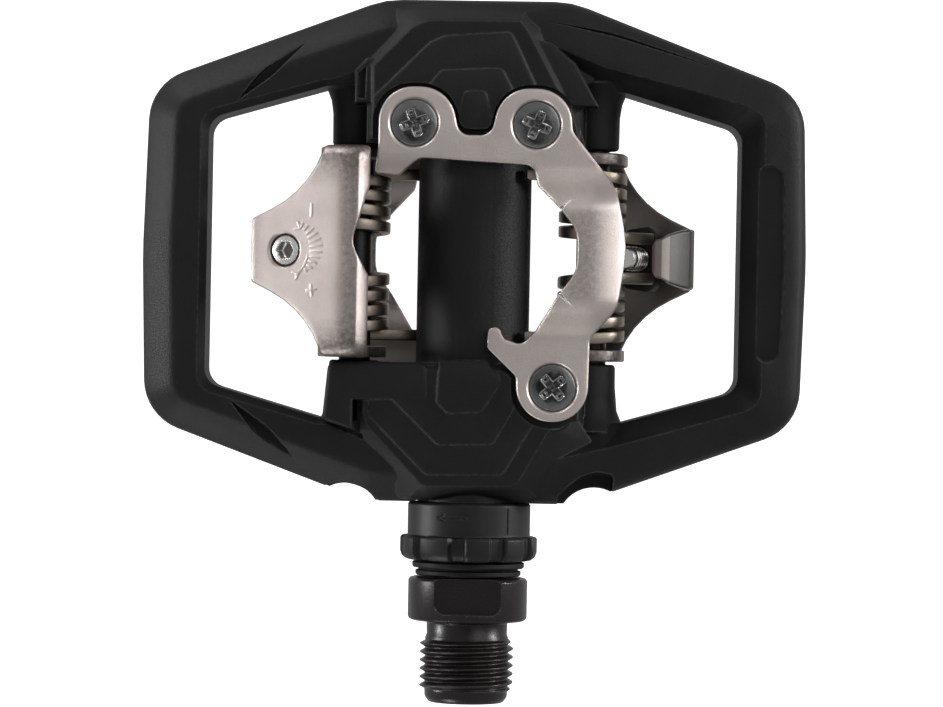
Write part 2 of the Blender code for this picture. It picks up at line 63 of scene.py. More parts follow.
PIN_OUT = 17.9
PIN_RADIUS = 2.4
PIN_HALF_LENGTH = 23.5
PIN_PLAY = 0.15
TUBE_RADIUS = 8.55
CRANK_END = -37.8
CLAW_MIDDLE_Y = -0.4
CLAW_HALF_WIDTH = 15.8
SHEET = 1.8
SLOPE = math.radians(26.5)
RIDGE = (18.8, 15.6)  # out from the axle, and up
HOOK_TIP = (15.7, 13.6)
SCREW_AT = 28.4
PLATE = 2.0
PLATE_TOP = 11.0
HOOK_TOP = 15.4
PLATE_SCREWS = ((-9.3, 19.0, 20), (9.0, 19.0, 67), (12.1, -20.2, 41))  # place and turn of the cross


# ---------------------------------------------------------------- materials


CORNER_DOTS = (0.995, 0.85)  # how far the rounded normal leans where a corner starts and is full
BLOTCHES = 1300.0
PATCHES = 90.0
# Grain of the pale corner colour, which is painted highlight along with scuffs.
SCUFF_AND_HIGHLIGHT_GRAIN = 1400.0
BUMP_DEPTH = 0.00006
NICKEL = ((0.55, 0.49, 0.465), (0.47, 0.415, 0.39))
# A darker copy of the nickel for the claws: painted shade.
SHADED_NICKEL = ((0.5, 0.445, 0.42), (0.42, 0.37, 0.35))
TUMBLED = (1.0, (0.38, 0.52), 3800.0, 0.6)  # metallic, roughness, grain and bump
# Pale corner colour of the nickel: a painted highlight, with scuffs.
NICKEL_EDGE = (0.74, 0.7, 0.67)


def link(nodes, source, target):
    nodes.id_data.links.new(source, target)


def add(nodes, kind, **values):
    node = nodes.new(kind)
    for name, value in values.items():
        if name in node.inputs:
            node.inputs[name].default_value = value
        else:
            setattr(node, name, value)
    return node


def noise(nodes, scale, detail=4.0, roughness=0.6):
    """Grain of that many cycles per metre, in the object's own space."""
    place = add(nodes, "ShaderNodeTexCoord")
    made = add(nodes, "ShaderNodeTexNoise", Scale=scale, Detail=detail, Roughness=roughness)
    link(nodes, place.outputs["Object"], made.inputs["Vector"])
    return made.outputs["Fac"]


def remap(nodes, value, low, high, start, end):
    ends = {"From Min": low, "From Max": high, "To Min": start, "To Max": end}
    made = add(nodes, "ShaderNodeMapRange", **ends)
    link(nodes, value, made.inputs["Value"])
    return made.outputs["Result"]


def mix(nodes, share, first, second):
    """A colour between two, each a colour or an output."""
    made = add(nodes, "ShaderNodeMix", data_type="RGBA")
    link(nodes, share, made.inputs["Factor"])
    for name, value in (("A", first), ("B", second)):
        target = next(i for i in made.inputs if i.name == name and i.type == "RGBA")
        if isinstance(value, tuple):
            target.default_value = (*value, 1)
        else:
            link(nodes, value, target)
    return next(o for o in made.outputs if o.type == "RGBA")


def edges(nodes, width):
    """1 within width of a corner of the shape, 0 away from it, with the rounded normal."""
    bevel = add(nodes, "ShaderNodeBevel", samples=6, Radius=width)
    flat = add(nodes, "ShaderNodeNewGeometry")
    dot = add(nodes, "ShaderNodeVectorMath", operation="DOT_PRODUCT")
    link(nodes, bevel.outputs["Normal"], dot.inputs[0])
    link(nodes, flat.outputs["Normal"], dot.inputs[1])
    return remap(nodes, dot.outputs["Value"], *CORNER_DOTS, 0.0, 1.0), bevel.outputs["Normal"]


def fade(nodes, value, start, end):
    """0 at start and 1 at end, with soft ends. Both are in millimetres."""
    ends = {"From Min": start * MM, "From Max": end * MM}
    made = add(nodes, "ShaderNodeMapRange", interpolation_type="SMOOTHSTEP", **ends)
    link(nodes, value, made.inputs["Value"])
    return made.outputs["Result"]


def calculate(nodes, operation, *values):
    made = add(nodes, "ShaderNodeMath", operation=operation)
    for target, value in zip(made.inputs, values):
        if isinstance(value, float):
            target.default_value = value
        else:
            link(nodes, value, target)
    return made.outputs["Value"]


def painted_shade(nodes, outs, alongs, strength):
    """Blotchy painted shade over part of a piece, where bends and sides fall into shade. Each (start, end)
    fades it by the distance out from the axle, or along from the claws' middle."""
    place = add(nodes, "ShaderNodeTexCoord")
    split = add(nodes, "ShaderNodeSeparateXYZ")
    link(nodes, place.outputs["Object"], split.inputs["Vector"])
    out = calculate(nodes, "ABSOLUTE", split.outputs["X"])
    middle = calculate(nodes, "SUBTRACT", split.outputs["Y"], (CENTRE_Y + CLAW_MIDDLE_Y) * MM)
    along = calculate(nodes, "ABSOLUTE", middle)
    share = remap(nodes, noise(nodes, BLOTCHES, 8.0, 0.75), 0.36, 0.62, 0.35 * strength, strength)
    for value, limits in ((out, outs), (along, alongs)):
        for start, end in limits:
            share = calculate(nodes, "MULTIPLY", share, fade(nodes, value, start, end))
    return share


def material(
    name, colour, tint, metallic, roughness, grain, bump,
    edge_colour=None, edge=0.0, rounding=0.00018, specular=0.5, shade_zones=(), shade_colour=None,
):
    """Colour and tint mix in broad patches. Grain is fine speckle in cycles per metre, edge is how much
    the corners take edge_colour, a painted highlight along with scuffs, and the zones list where painted
    shade in the last colour goes and how much."""
    made = bpy.data.materials.new(name)
    made.use_nodes = True
    nodes = made.node_tree.nodes
    shader = nodes["Principled BSDF"]
    shader.inputs["Metallic"].default_value = metallic
    shader.inputs["Specular IOR Level"].default_value = specular
    patches = remap(nodes, noise(nodes, PATCHES), 0.35, 0.65, 0.0, 1.0)
    speckle = noise(nodes, grain, 6.0, 0.7)
    base = mix(nodes, patches, colour, tint)
    dark = tuple(0.72 * part for part in colour)
    base = mix(nodes, remap(nodes, speckle, 0.3, 0.5, 0.6, 0.0), base, dark)
    # Painted shade over the zones given.
    for outs, alongs, strength in shade_zones:
        base = mix(nodes, painted_shade(nodes, outs, alongs, strength), base, shade_colour)
    near, normal = edges(nodes, rounding)
    # Corners lightened: painted highlight, with scuffs.
    if edge_colour:
        scuffs_and_highlights = add(nodes, "ShaderNodeMath", operation="MULTIPLY", use_clamp=True)
        link(nodes, near, scuffs_and_highlights.inputs[0])
        link(nodes, remap(nodes, noise(nodes, SCUFF_AND_HIGHLIGHT_GRAIN), 0.4, 0.6, 0.3 * edge, edge), scuffs_and_highlights.inputs[1])
        base = mix(nodes, scuffs_and_highlights.outputs["Value"], base, edge_colour)
    link(nodes, base, shader.inputs["Base Color"])
    low, high = roughness
    link(nodes, remap(nodes, speckle, 0.3, 0.7, low, high), shader.inputs["Roughness"])
    bumps = add(nodes, "ShaderNodeBump", Strength=bump, Distance=BUMP_DEPTH)
    link(nodes, speckle, bumps.inputs["Height"])
    link(nodes, normal, bumps.inputs["Normal"])
    link(nodes, bumps.outputs["Normal"], shader.inputs["Normal"])
    return made


# In each, the colour after the bump is painted highlight, with scuffs, on its corners, and the number after
# it is how much.
MATERIALS = {
    "black_casting": material(
        "satin_black_coat", (0.006, 0.006, 0.0063), (0.0085, 0.0085, 0.0087), 0.0, (0.4, 0.58), 3300.0, 1.0,
        (0.075, 0.075, 0.077), 0.8, 0.0005, 0.19,
    ),
    "plate_steel": material(
        "tumbled_nickel", *NICKEL, *TUMBLED, NICKEL_EDGE, 0.4, 0.0003,
    ),
    "spring_steel": material(
        "oiled_spring_wire", (0.36, 0.31, 0.255), (0.24, 0.205, 0.165), 1.0, (0.3, 0.46), 2600.0, 0.4,
        (0.55, 0.5, 0.44), 0.5, 0.00025,
    ),
    "screw_steel": material(
        "plated_screw_steel", (0.5, 0.52, 0.53), (0.42, 0.44, 0.45), 1.0, (0.1, 0.2), 4200.0, 0.12,
        (0.85, 0.86, 0.87), 0.9, 0.00022,
    ),
    "adjuster_steel": material(
        "dark_adjuster_steel", (0.018, 0.0175, 0.017), (0.026, 0.025, 0.024), 0.3, (0.4, 0.55), 4200.0, 0.4,
        (0.12, 0.12, 0.12), 0.5,
    ),
    "black_steel": material(
        "black_oxide", (0.008, 0.0068, 0.0063), (0.012, 0.0102, 0.0094), 0.15, (0.24, 0.36), 3600.0, 0.25,
        (0.12, 0.105, 0.095), 0.5, 0.00025, 0.3,
    ),
    "resin": material(
        "glass_filled_resin", (0.008, 0.008, 0.0085), (0.011, 0.011, 0.0115), 0.0, (0.36, 0.48), 4800.0, 0.45,
        (0.06, 0.06, 0.06), 0.6, 0.0003, 0.22,
    ),
    "rubber": material(
        "seal_rubber", (0.004, 0.004, 0.004), (0.006, 0.006, 0.006), 0.0, (0.5, 0.65), 3000.0, 0.5,
        (0.03, 0.03, 0.03), 0.4, 0.0002, 0.18,
    ),
    "bearing_steel": material(
        "ground_steel", (0.62, 0.62, 0.62), (0.56, 0.56, 0.55), 1.0, (0.12, 0.22), 2600.0, 0.1,
        (0.75, 0.75, 0.75), 0.3,
    ),
}
FINISHES = {  # for pieces, or faces of them, that differ from the rest of their slot: darker or lighter copies with painted shade and painted highlights
    # Claw nickel with painted shade along the ridge's bend, at the ear bends and on the tail.
    "shaded_claw": material(
        "shaded_claw_nickel", *SHADED_NICKEL, *TUMBLED, NICKEL_EDGE, 0.35, 0.0003, 0.5,
        (
            (((16.6, 17.8), (20.8, 19.0)), (), 0.55),
            (((30.0, 20.0),), ((8.5, 15.0),), 0.92),
            (((31.0, 33.4),), (), 0.4),
        ),
        (0.1, 0.085, 0.078),
    ),
    # Plate nickel with painted shade on the inner side of the hook.
    "shaded_plate": material(
        "shaded_plate_nickel", *NICKEL, *TUMBLED, NICKEL_EDGE, 0.35, 0.0003, 0.5,
        ((((13.0, 14.6), (20.2, 17.6)), ((7.4, 5.8),), 0.65),),
        (0.2, 0.18, 0.17),
    ),
    # Dark painted shade for faces under the tongue and the floor of the hex socket, with painted highlights
    # on corners.
    "tongue": material(
        "rubbed_tongue", (0.26, 0.253, 0.247), (0.19, 0.185, 0.18), 1.0, (0.34, 0.5), 2400.0, 0.9,
        (0.6, 0.58, 0.56), 0.6, 0.0004,
    ),
    # A darker copy of the screw steel, painted shade, with painted highlights on its corners.
    "cross_screw": material(
        "shaded_screw_steel", (0.24, 0.243, 0.243), (0.1, 0.102, 0.102), 1.0, (0.05, 0.15), 2600.0, 0.35,
        (0.88, 0.89, 0.88), 1.0, 0.0003,
    ),
    # A lighter copy of the screw steel, painted light, for the tension screw's head.
    "lit_screw": material(
        "lit_screw_steel", (0.74, 0.73, 0.71), (0.66, 0.65, 0.63), 1.0, (0.2, 0.34), 4200.0, 0.15,
        (0.88, 0.88, 0.87), 0.8, 0.0002,
    ),
    # Painted shade and dark reflection for the underside of the claws, with painted highlights on its
    # corners.
    "shaded_claw_inside": material(
        "painted_shade_inside", (0.3, 0.268, 0.25), (0.19, 0.168, 0.155), 1.0, (0.38, 0.55), 2800.0, 0.7,
        (0.62, 0.59, 0.56), 1.0, 0.0006,
    ),
}


# ---------------------------------------------------------------- shapes


def rounded(corners, steps=None):
    """The outline through (x, y, radius) corners. With steps, every radius gives that many."""
    points = []
    for i, (x, y, radius) in enumerate(corners):
        corner = Vector((x, y))
        back = (Vector(corners[i - 1][:2]) - corner).normalized()
        ahead = (Vector(corners[(i + 1) % len(corners)][:2]) - corner).normalized()
        turn = math.pi - back.angle(ahead)
        if not radius:
            points.append(corner)
            continue
        start = corner + back * radius * math.tan(turn / 2)
        centre = corner + (back + ahead).normalized() * radius / math.cos(turn / 2)
        left = 1 if back.cross(ahead) < 0 else -1
        parts = steps or max(1, round(turn / ARC))
        for step in range(parts + 1):
            angle = left * turn * step / parts
            points.append(centre + Matrix.Rotation(angle, 2) @ (start - centre))
    return points


def mirrored(corners):
    """Right-hand corners, followed round by the same ones on the left."""
    return [*corners, *[(-x, y, radius) for x, y, radius in reversed(corners)]]


def inset(points, distances):
    """A clockwise outline moved inwards, by one distance or one for each point."""
    moved = []
    for i, point in enumerate(points):
        back = (point - points[i - 1]).normalized()
        ahead = (points[(i + 1) % len(points)] - point).normalized()
        inward = Vector((back.y + ahead.y, -back.x - ahead.x)).normalized()
        share = max(0.5, inward.dot(Vector((ahead.y, -ahead.x))))
        distance = distances[i] if isinstance(distances, list) else distances
        moved.append(point + inward * distance / share)
    return moved


def clockwise(points):
    area = sum(p.cross(points[(i + 1) % len(points)]) for i, p in enumerate(points))
    return points if area < 0 else points[::-1]


def loft(rings, ends=True):
    """A solid through rings of as many points each."""
    bm = bmesh.new()
    made = [[bm.verts.new(point) for point in ring] for ring in rings]
    for low, high in zip(made, made[1:]):
        for i in range(len(low)):
            j = (i + 1) % len(low)
            bm.faces.new((low[i], low[j], high[j], high[i]))
    if ends:
        bm.faces.new(made[0])
        bm.faces.new(made[-1])
    return bm


def slab(points, low, high, edge=0.0, foot=0.0, steps=4):
    """A flat outline filled from low to high, with its top edge rounded, and its bottom edge by foot."""
    points = clockwise([Vector(point) for point in points])
    rings = []
    for step in range(steps + 1 if foot else 1):
        angle = math.pi / 2 * step / steps
        move = foot * (1 - math.sin(angle))
        rings.append((move, low + foot * (1 - math.cos(angle))))
    for step in range(steps + 1 if edge else 1):
        angle = math.pi / 2 * step / steps
        rings.append((edge * (1 - math.cos(angle)), high - edge * (1 - math.sin(angle))))
    return loft([[(x, y, z) for x, y in inset(points, move)] for move, z in rings])


def flared(lower, low, upper, high):
    """A solid between two outlines of as many points each."""
    return loft([[(x, y, low) for x, y in lower], [(x, y, high) for x, y in upper]])


def box(size):
    bm = bmesh.new()
    bmesh.ops.create_cube(bm, size=1)
    bmesh.ops.scale(bm, vec=size, verts=bm.verts)
    return bm


RIM_ANGLES = (0, 0.5, 1, 1.57)


def tube(start, end, radius, segments=64, end_radius=None, edge=0.0):
    """A round bar between two points, with both rims rounded by edge."""
    start, end = Vector(start), Vector(end)
    last = radius if end_radius is None else end_radius
    length = (end - start).length
    rings = [(0, radius), (length, last)]
    if edge:
        rim = [(edge * (1 - math.cos(a)), edge * (1 - math.sin(a))) for a in RIM_ANGLES]
        rings = [(along, radius - drop) for along, drop in rim]
        rings += [(length - along, last - drop) for along, drop in reversed(rim)]
    turn = Matrix.Translation(start) @ (end - start).to_track_quat("Z", "Y").to_matrix().to_4x4()
    bm = loft([circle(r, z, segments) for z, r in rings])
    bm.transform(turn)
    return bm


def circle(radius, z, segments):
    around = [2 * math.pi * i / segments for i in range(segments)]
    return [(radius * math.cos(a), radius * math.sin(a), z) for a in around]


WELD = 1e-5


def lathe(profile, segments=96, shape=None, closed=False):
    """A solid of revolution about the axle through (y, radius) points. shape(y, radius, angle) may
    change a radius. A closed profile makes a ring."""
    rings = []
    for y, radius in profile:
        ring = []
        for i in range(segments):
            angle = 2 * math.pi * i / segments
            at = shape(y, radius, angle) if shape else radius
            ring.append((at * math.sin(angle), y, at * math.cos(angle)))
        rings.append(ring)
    if closed:
        rings.append(rings[0])
    bm = loft(rings, ends=not closed)
    bmesh.ops.remove_doubles(bm, verts=bm.verts, dist=WELD)
    return bm


def show(obj):
    bpy.context.scene.collection.objects.link(obj)
    return obj


def solid(bm):
    bm.normal_update()
    bmesh.ops.recalc_face_normals(bm, faces=bm.faces)
    mesh = bpy.data.meshes.new("shape")
    bm.to_mesh(mesh)
    bm.free()
    return show(bpy.data.objects.new("shape", mesh))


def combine(obj, bm, operation="DIFFERENCE"):
    """Cuts a shape from obj, or joins it on."""
    other = solid(bm)
    modifier = obj.modifiers.new("shape", "BOOLEAN")
    modifier.operation = operation
    modifier.object = other
    graph = bpy.context.evaluated_depsgraph_get()
    mesh = bpy.data.meshes.new_from_object(obj.evaluated_get(graph))
    obj.modifiers.clear()
    old, obj.data = obj.data, mesh
    bpy.data.meshes.remove(old)
    bpy.data.meshes.remove(other.data)
    return obj


def piece(obj, name, slot, node, body, side="a", sharp=32.0, rides=True):
    """Puts a finished shape in the frame as the visible form of a CAD node."""
    obj.name = name
    mesh = obj.data
    mesh.name = name
    centre = Matrix.Translation((0, CENTRE_Y * MM, 0))
    mesh.transform(centre @ SIDES[side] @ Matrix.Scale(MM, 4))
    mesh.materials.clear()
    mesh.materials.append(MATERIALS[slot])
    mesh.shade_smooth()
    mesh.set_sharp_from_angle(angle=math.radians(sharp))
    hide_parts(node)
    if rides:
        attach(obj, body)
    return obj


def ramp(value, start, end):
    """0 before start, 1 past end, straight between."""
    return min(1.0, max(0.0, (value - start) / (end - start)))


def smooth(value, start, end):
    share = ramp(value, start, end)
    return share * share * (3 - 2 * share)


# ---------------------------------------------------------------- cast body


CAGE_CORNERS = (
    (14.0, 38.0, 14.0), (49.4, 24.6, 8.0), (50.1, -0.8, 60.0), (49.4, -25.6, 8.0),
    (16.0, CRANK_END, 9.0),
)
# The cage's section on each side of a face, from the middle plane up: inset and height of each ring.
LEFT_EDGE = ((0, 0), (0, 3.0), (0.1, 3.7), (0.5, 4.5), (4.1, 7.6), (4.6, 7.9), (5.2, 8.0))
RIGHT_EDGE = ((0, 0), (0, 4.4), (0.2, 5.4), (0.6, 6.3), (1.3, 6.95), (2.6, 7.35), (6.0, 8.0))
TUBE_END_OF_WINDOW = ((17.0, -16.8, 0), (2.0, -16.8, 0), (2.0, 16.0, 0), (16.4, 16.0, 0))
WINDOW = (
    (40.1, 19.3, 3.0), (40.1, -20.4, 3.0), (22.9, -25.3, 0.8), (17.0, -25.3, 0),
    *TUBE_END_OF_WINDOW, (16.4, 24.5, 0), (22.4, 24.5, 0.8),
)
WIDE_MOUTH = (
    (43.6, 22.2, 3.4), (43.6, -22.8, 3.4), (20.0, -29.4, 0.8), (12.5, -31.2, 0),
    *TUBE_END_OF_WINDOW, (11.6, 31.2, 0), (20.0, 27.9, 0.8),
)
NARROW_MOUTH = (
    (41.5, 20.4, 3.2), (41.5, -21.5, 3.2), (23.1, -26.5, 0.8), (17.0, -26.5, 0),
    *TUBE_END_OF_WINDOW, (16.4, 28.0, 0), (22.9, 25.6, 0.8),
)
MOUTHS = ((1, WIDE_MOUTH, 3.9), (-1, NARROW_MOUTH, 6.9))  # side, outline and foot
MOUTH_TOP = 8.2
SLOT = ((42.3, 13.8, 1.8), (46.3, 13.8, 1.8), (46.7, -1.0, 30.0), (46.2, -15.8, 1.8), (42.3, -15.8, 1.8))
# Blocks over the axle: foot, shoulder and top outlines of as many corners each.
OUTBOARD_BLOCK = (
    (
        (-16.2, 16.2), (-16.4, 25.2), (-19.9, 27.8), (-12.3, 36.6), (-7.0, 37.3),
        (7.6, 37.3), (11.6, 36.4), (19.2, 28.0), (16.2, 25.2), (16.2, 16.2),
    ),
    (
        (-16.2, 16.2), (-16.4, 24.9), (-19.4, 26.9), (-12.1, 35.3), (-7.4, 36.3),
        (7.0, 36.3), (10.2, 34.0), (16.0, 25.4), (16.0, 24.6), (16.0, 16.2),
    ),
    (
        (-15.7, 16.6), (-15.8, 24.6), (-15.9, 27.6), (-10.0, 33.7), (-7.2, 34.8),
        (6.5, 34.9), (7.9, 33.1), (12.4, 24.6), (13.2, 22.8), (15.1, 16.6),
    ),
)
CRANK_BLOCK = (
    (
        (-16.8, -17.0), (-16.8, -25.8), (-19.4, -28.6), (-10.4, -37.3), (-6.0, -37.7),
        (7.0, -37.7), (10.6, -37.2), (19.0, -28.8), (16.8, -26.0), (16.8, -17.0),
    ),
    (
        (-16.8, -17.2), (-16.8, -25.6), (-18.6, -28.4), (-9.0, -37.0), (-6.0, -37.3),
        (7.0, -37.2), (10.0, -36.6), (18.4, -28.4), (16.6, -25.8), (16.6, -17.2),
    ),
    (
        (-16.4, -17.4), (-16.5, -24.6), (-15.9, -26.6), (-7.4, -35.4), (-6.0, -35.7),
        (6.0, -35.5), (7.6, -34.6), (11.9, -27.0), (15.9, -24.6), (16.0, -17.4),
    ),
)
SHOULDER = 6.6
BLOCK_TOP = 9.5
PADS = (  # raised steps on the blocks: the top, then the corners
    (
        9.9, (-15.6, 17.0, 0), (-15.6, 22.8, 1.0), (-7.2, 31.2, 1.5), (-4.8, 32.2, 1.5),
        (5.0, 32.9, 1.2), (9.6, 23.4, 1.0), (14.6, 17.0, 0),
    ),
    (
        10.2, (-9.0, 17.4, 0), (-8.4, 23.4, 0.8), (-5.5, 27.0, 1.2),
        (3.7, 27.5, 1.2), (6.2, 22.8, 1.0), (6.0, 17.4, 0),
    ),
    (10.5, (-3.4, 16.4, 0), (-2.0, 24.0, 1.0), (1.4, 24.0, 1.0), (3.0, 16.4, 0)),
    (
        9.85, (-15.2, -17.6, 0), (-15.4, -24.9, 0.8), (-6.7, -33.6, 1.5),
        (4.9, -33.4, 1.5), (9.0, -26.3, 1.0), (15.0, -17.6, 0),
    ),
    (
        10.15, (-12.6, -17.8, 0), (-12.9, -21.5, 0.8), (-5.0, -29.1, 1.4),
        (3.4, -28.9, 1.4), (6.3, -23.6, 1.0), (6.3, -17.8, 0),
    ),
    (
        10.5, (-5.0, -16.4, 0.5), (-5.3, -22.6, 0.8), (-3.6, -24.4, 1.2),
        (1.6, -24.0, 1.2), (4.6, -19.2, 1.2), (2.0, -16.4, 0.5),
    ),
)
CRANK_LUG = (
    (-21.5, -16.8, 1.3), (-6.7, -16.8, 1.0), (-6.2, -22.3, 1.0), (-17.7, -22.6, 0), (-17.7, -27.0, 0),
    (-22.3, -25.6, 1.0),
)
CRANK_LUG_TOP = 10.25
OUTBOARD_LUGS = (
    ((-18.3, 21.9, 0), (-14.0, 21.9, 0), (-14.0, 29.0, 0), (-16.6, 28.6, 0), (-18.3, 26.8, 0)),
    ((8.5, 32.0, 0), (11.2, 31.2, 0), (14.7, 28.4, 0), (18.3, 22.0, 0), (10.0, 22.0, 0)),
)
OUTBOARD_LUG_TOP = 8.95
NOTCH_POCKET = (
    (13.2, -36.6, 0), (14.6, -35.1, 1.0), (16.6, -33.5, 2.0), (19.0, -32.7, 2.0), (21.5, -33.1, 0.8),
    (21.7, -39.5, 0), (13.2, -39.5, 0),
)
NOTCH_FLOOR = 0.9
GROOVES = (  # outline, top and floor
    (((-35.9, 22.0, 0), (-32.4, 26.6, 6.0), (-25.6, 31.2, 0), (-30.6, 25.9, 6.0)), 8.2, 6.2),
    (((-36.4, -22.8, 0), (-32.2, -28.2, 6.0), (-25.6, -32.2, 0), (-30.4, -26.9, 6.0)), 8.2, 6.2),
    (((9.8, 34.9, 0), (20.5, 33.2, 14.0), (37.2, 27.9, 0), (20.5, 32.6, 14.0)), 8.4, 6.6),
    (((-17.9, 22.6, 0), (-16.7, 22.5, 0), (-16.6, 27.7, 0), (-17.9, 26.3, 0)), 11.0, 7.8),
    (((-17.6, -22.7, 0), (-16.6, -22.7, 0), (-16.4, -28.2, 0), (-17.6, -27.2, 0)), 11.0, 7.4),
    (((-22.6, -25.2, 0), (-16.2, -27.6, 0), (-16.0, -28.6, 0), (-22.4, -25.9, 0)), 8.4, 7.2),
)
PLATE_POCKETS = (
    (
        (-15.5, 11.0, 0), (-15.5, 25.0, 5.8), (-3.4, 25.0, 5.8), (-2.4, 18.2, 1.5), (2.2, 18.2, 1.5),
        (3.0, 25.0, 5.8), (15.1, 25.0, 5.8), (15.1, 19.0, 0), (17.6, 15.9, 0), (17.6, 11.0, 0),
    ),
    (
        (2.6, -15.6, 0), (18.4, -15.6, 0), (18.4, -26.3, 5.8), (5.9, -26.3, 5.8), (5.9, -18.9, 0),
    ),
)
POCKET_FLOOR = 8.7
NOTCHES = ((18.9, -40.8, 5.5), (-19.2, -42.1, 7.0))
BORES = ((6.4, 32), (7.7, -24))  # radius, and where it starts on its way out at the crank end
BORE_MOUTH = (9.9, 7.5)
SCREW_BORE = (2.15, 2.8)  # radius and floor
BOSS_RADIUS = 3.85
KNUCKLES = ((15.8, 26.5), (-16.6, -28.0))  # from the claw's ear into the block
PAST = 15  # beyond any surface of a face


def cage_ring():
    """Half of the ring, above the middle plane, with a section that differs left and right."""
    outline = clockwise(rounded(mirrored(CAGE_CORNERS)))
    share = [smooth(x, -12, 12) for x, _ in outline]
    rings = []
    for left, right in zip(LEFT_EDGE, RIGHT_EDGE):
        moved = inset(outline, [left[0] + s * (right[0] - left[0]) for s in share])
        rings.append([(x, y, left[1] + s * (right[1] - left[1])) for (x, y), s in zip(moved, share)])
    return loft(rings)


def block(outlines):
    """Half of one end's block: foot, shoulder and top, with its corners eased."""
    foot, shoulder, top = (clockwise(rounded([(x, y, 0) for x, y in o])) for o in outlines)
    levels = ((foot, 0.2), (foot, 5.2), (shoulder, SHOULDER), (top, BLOCK_TOP - 0.35))
    rings = [[(x, y, z) for x, y in outline] for outline, z in levels]
    rings.append([(x, y, BLOCK_TOP) for x, y in inset(top, 0.4)])
    return loft(rings)


def pad(corners, top):
    """A step with a sloping side."""
    outline = clockwise(rounded(corners))
    levels = ((0, BLOCK_TOP - 1.2), (0, top - 0.3), (0.12, top - 0.12), (0.4, top))
    return loft([[(x, y, z) for x, y in inset(outline, move)] for move, z in levels])


def groove(corners, top, floor):
    outline = clockwise(rounded(corners))
    deep = [(x, y, floor) for x, y in inset(outline, 0.12)]
    return loft([deep, [(x, y, top) for x, y in outline]])


def knuckle(out, start, end):
    """A boss round the pin, rounded at the claw and flared into the block."""
    sign = 1 if end > start else -1
    steps = ((0, -0.5), (0.15, -0.15), (0.5, 0), (5.0, 0.05), (7.0, 0.35), (8.6, 1.0), (10.2, 2.2))
    rings = [circle(BOSS_RADIUS + grow, start * sign + along, 56) for along, grow in steps]
    bm = loft(rings)
    turn = Matrix.Rotation(-sign * math.pi / 2, 4, "X")
    bm.transform(Matrix.Translation((out, 0, 0)) @ turn)
    return bm


def half_casting():
    body = solid(cage_ring())
    window = rounded(WINDOW, 6)
    for side, mouth, foot in MOUTHS:
        low = [(side * x, y) for x, y in window]
        high = [(side * x, y) for x, y in rounded(mouth, 6)]
        rim = [(side * (x + 0.1), y) for x, y in window]
        combine(body, flared(low, -1, rim, 12))
        combine(body, flared(rim, foot, high, MOUTH_TOP))
    combine(body, groove(SLOT, 8.3, 6.9))
    for outlines in (OUTBOARD_BLOCK, CRANK_BLOCK):
        combine(body, block(outlines), "UNION")
    combine(body, tube((0, -34, 0), (0, 34, 0), TUBE_RADIUS, 120), "UNION")
    for out in (-PIN_OUT, PIN_OUT):
        for start, end in KNUCKLES:
            combine(body, knuckle(out, start, end), "UNION")
    for top, *corners in PADS:
        combine(body, pad(corners, top), "UNION")
    combine(body, slab(rounded(CRANK_LUG), 0.3, CRANK_LUG_TOP, edge=0.7), "UNION")
    for corners in OUTBOARD_LUGS:
        combine(body, slab(rounded(corners), 0.35, OUTBOARD_LUG_TOP, edge=0.4), "UNION")
    combine(body, slab(rounded(NOTCH_POCKET), NOTCH_FLOOR, 12, foot=0.5))
    for corners, top, floor in GROOVES:
        combine(body, groove(corners, top, floor))
    for corners in PLATE_POCKETS:
        combine(body, slab(rounded(corners), POCKET_FLOOR, PAST, foot=0.3))
    for x, y, radius in NOTCHES:
        combine(body, tube((x, y, -1), (x, y, PAST), radius, 48))
    for radius, start in BORES:
        combine(body, tube((0, start, 0), (0, -45, 0), radius, 96))
    mouth, throat = BORE_MOUTH
    combine(body, tube((0, CRANK_END - 0.2, 0), (0, CRANK_END + 1.0, 0), mouth, 96, throat))
    for out in (-PIN_OUT, PIN_OUT):
        end = PIN_HALF_LENGTH + PIN_PLAY
        combine(body, tube((out, -end, 0), (out, end, 0), PIN_RADIUS + PIN_PLAY, 40))
    radius, floor = SCREW_BORE
    for x, y, _ in PLATE_SCREWS:
        combine(body, tube((x, y, floor), (x, y, PAST), radius, 32))
    half = box((120, 120, 30))
    half.transform(Matrix.Translation((0, 0, 15)))
    return combine(body, half, "INTERSECT")


def pedal_casting():
    """Both halves are one shape, turned half a turn and met at the parting line."""
    body = half_casting()
    bm = bmesh.new()
    bm.from_mesh(body.data)
    twin = bmesh.ops.duplicate(bm, geom=[*bm.verts, *bm.edges, *bm.faces])
    verts = [item for item in twin["geom"] if isinstance(item, bmesh.types.BMVert)]
    bmesh.ops.transform(bm, matrix=HALF_TURN, verts=verts)
    bm.to_mesh(body.data)
    bm.free()
    piece(body, "casting", "black_casting", "pedal_casting", "pedal_body", sharp=28)


# ---------------------------------------------------------------- sheet metal


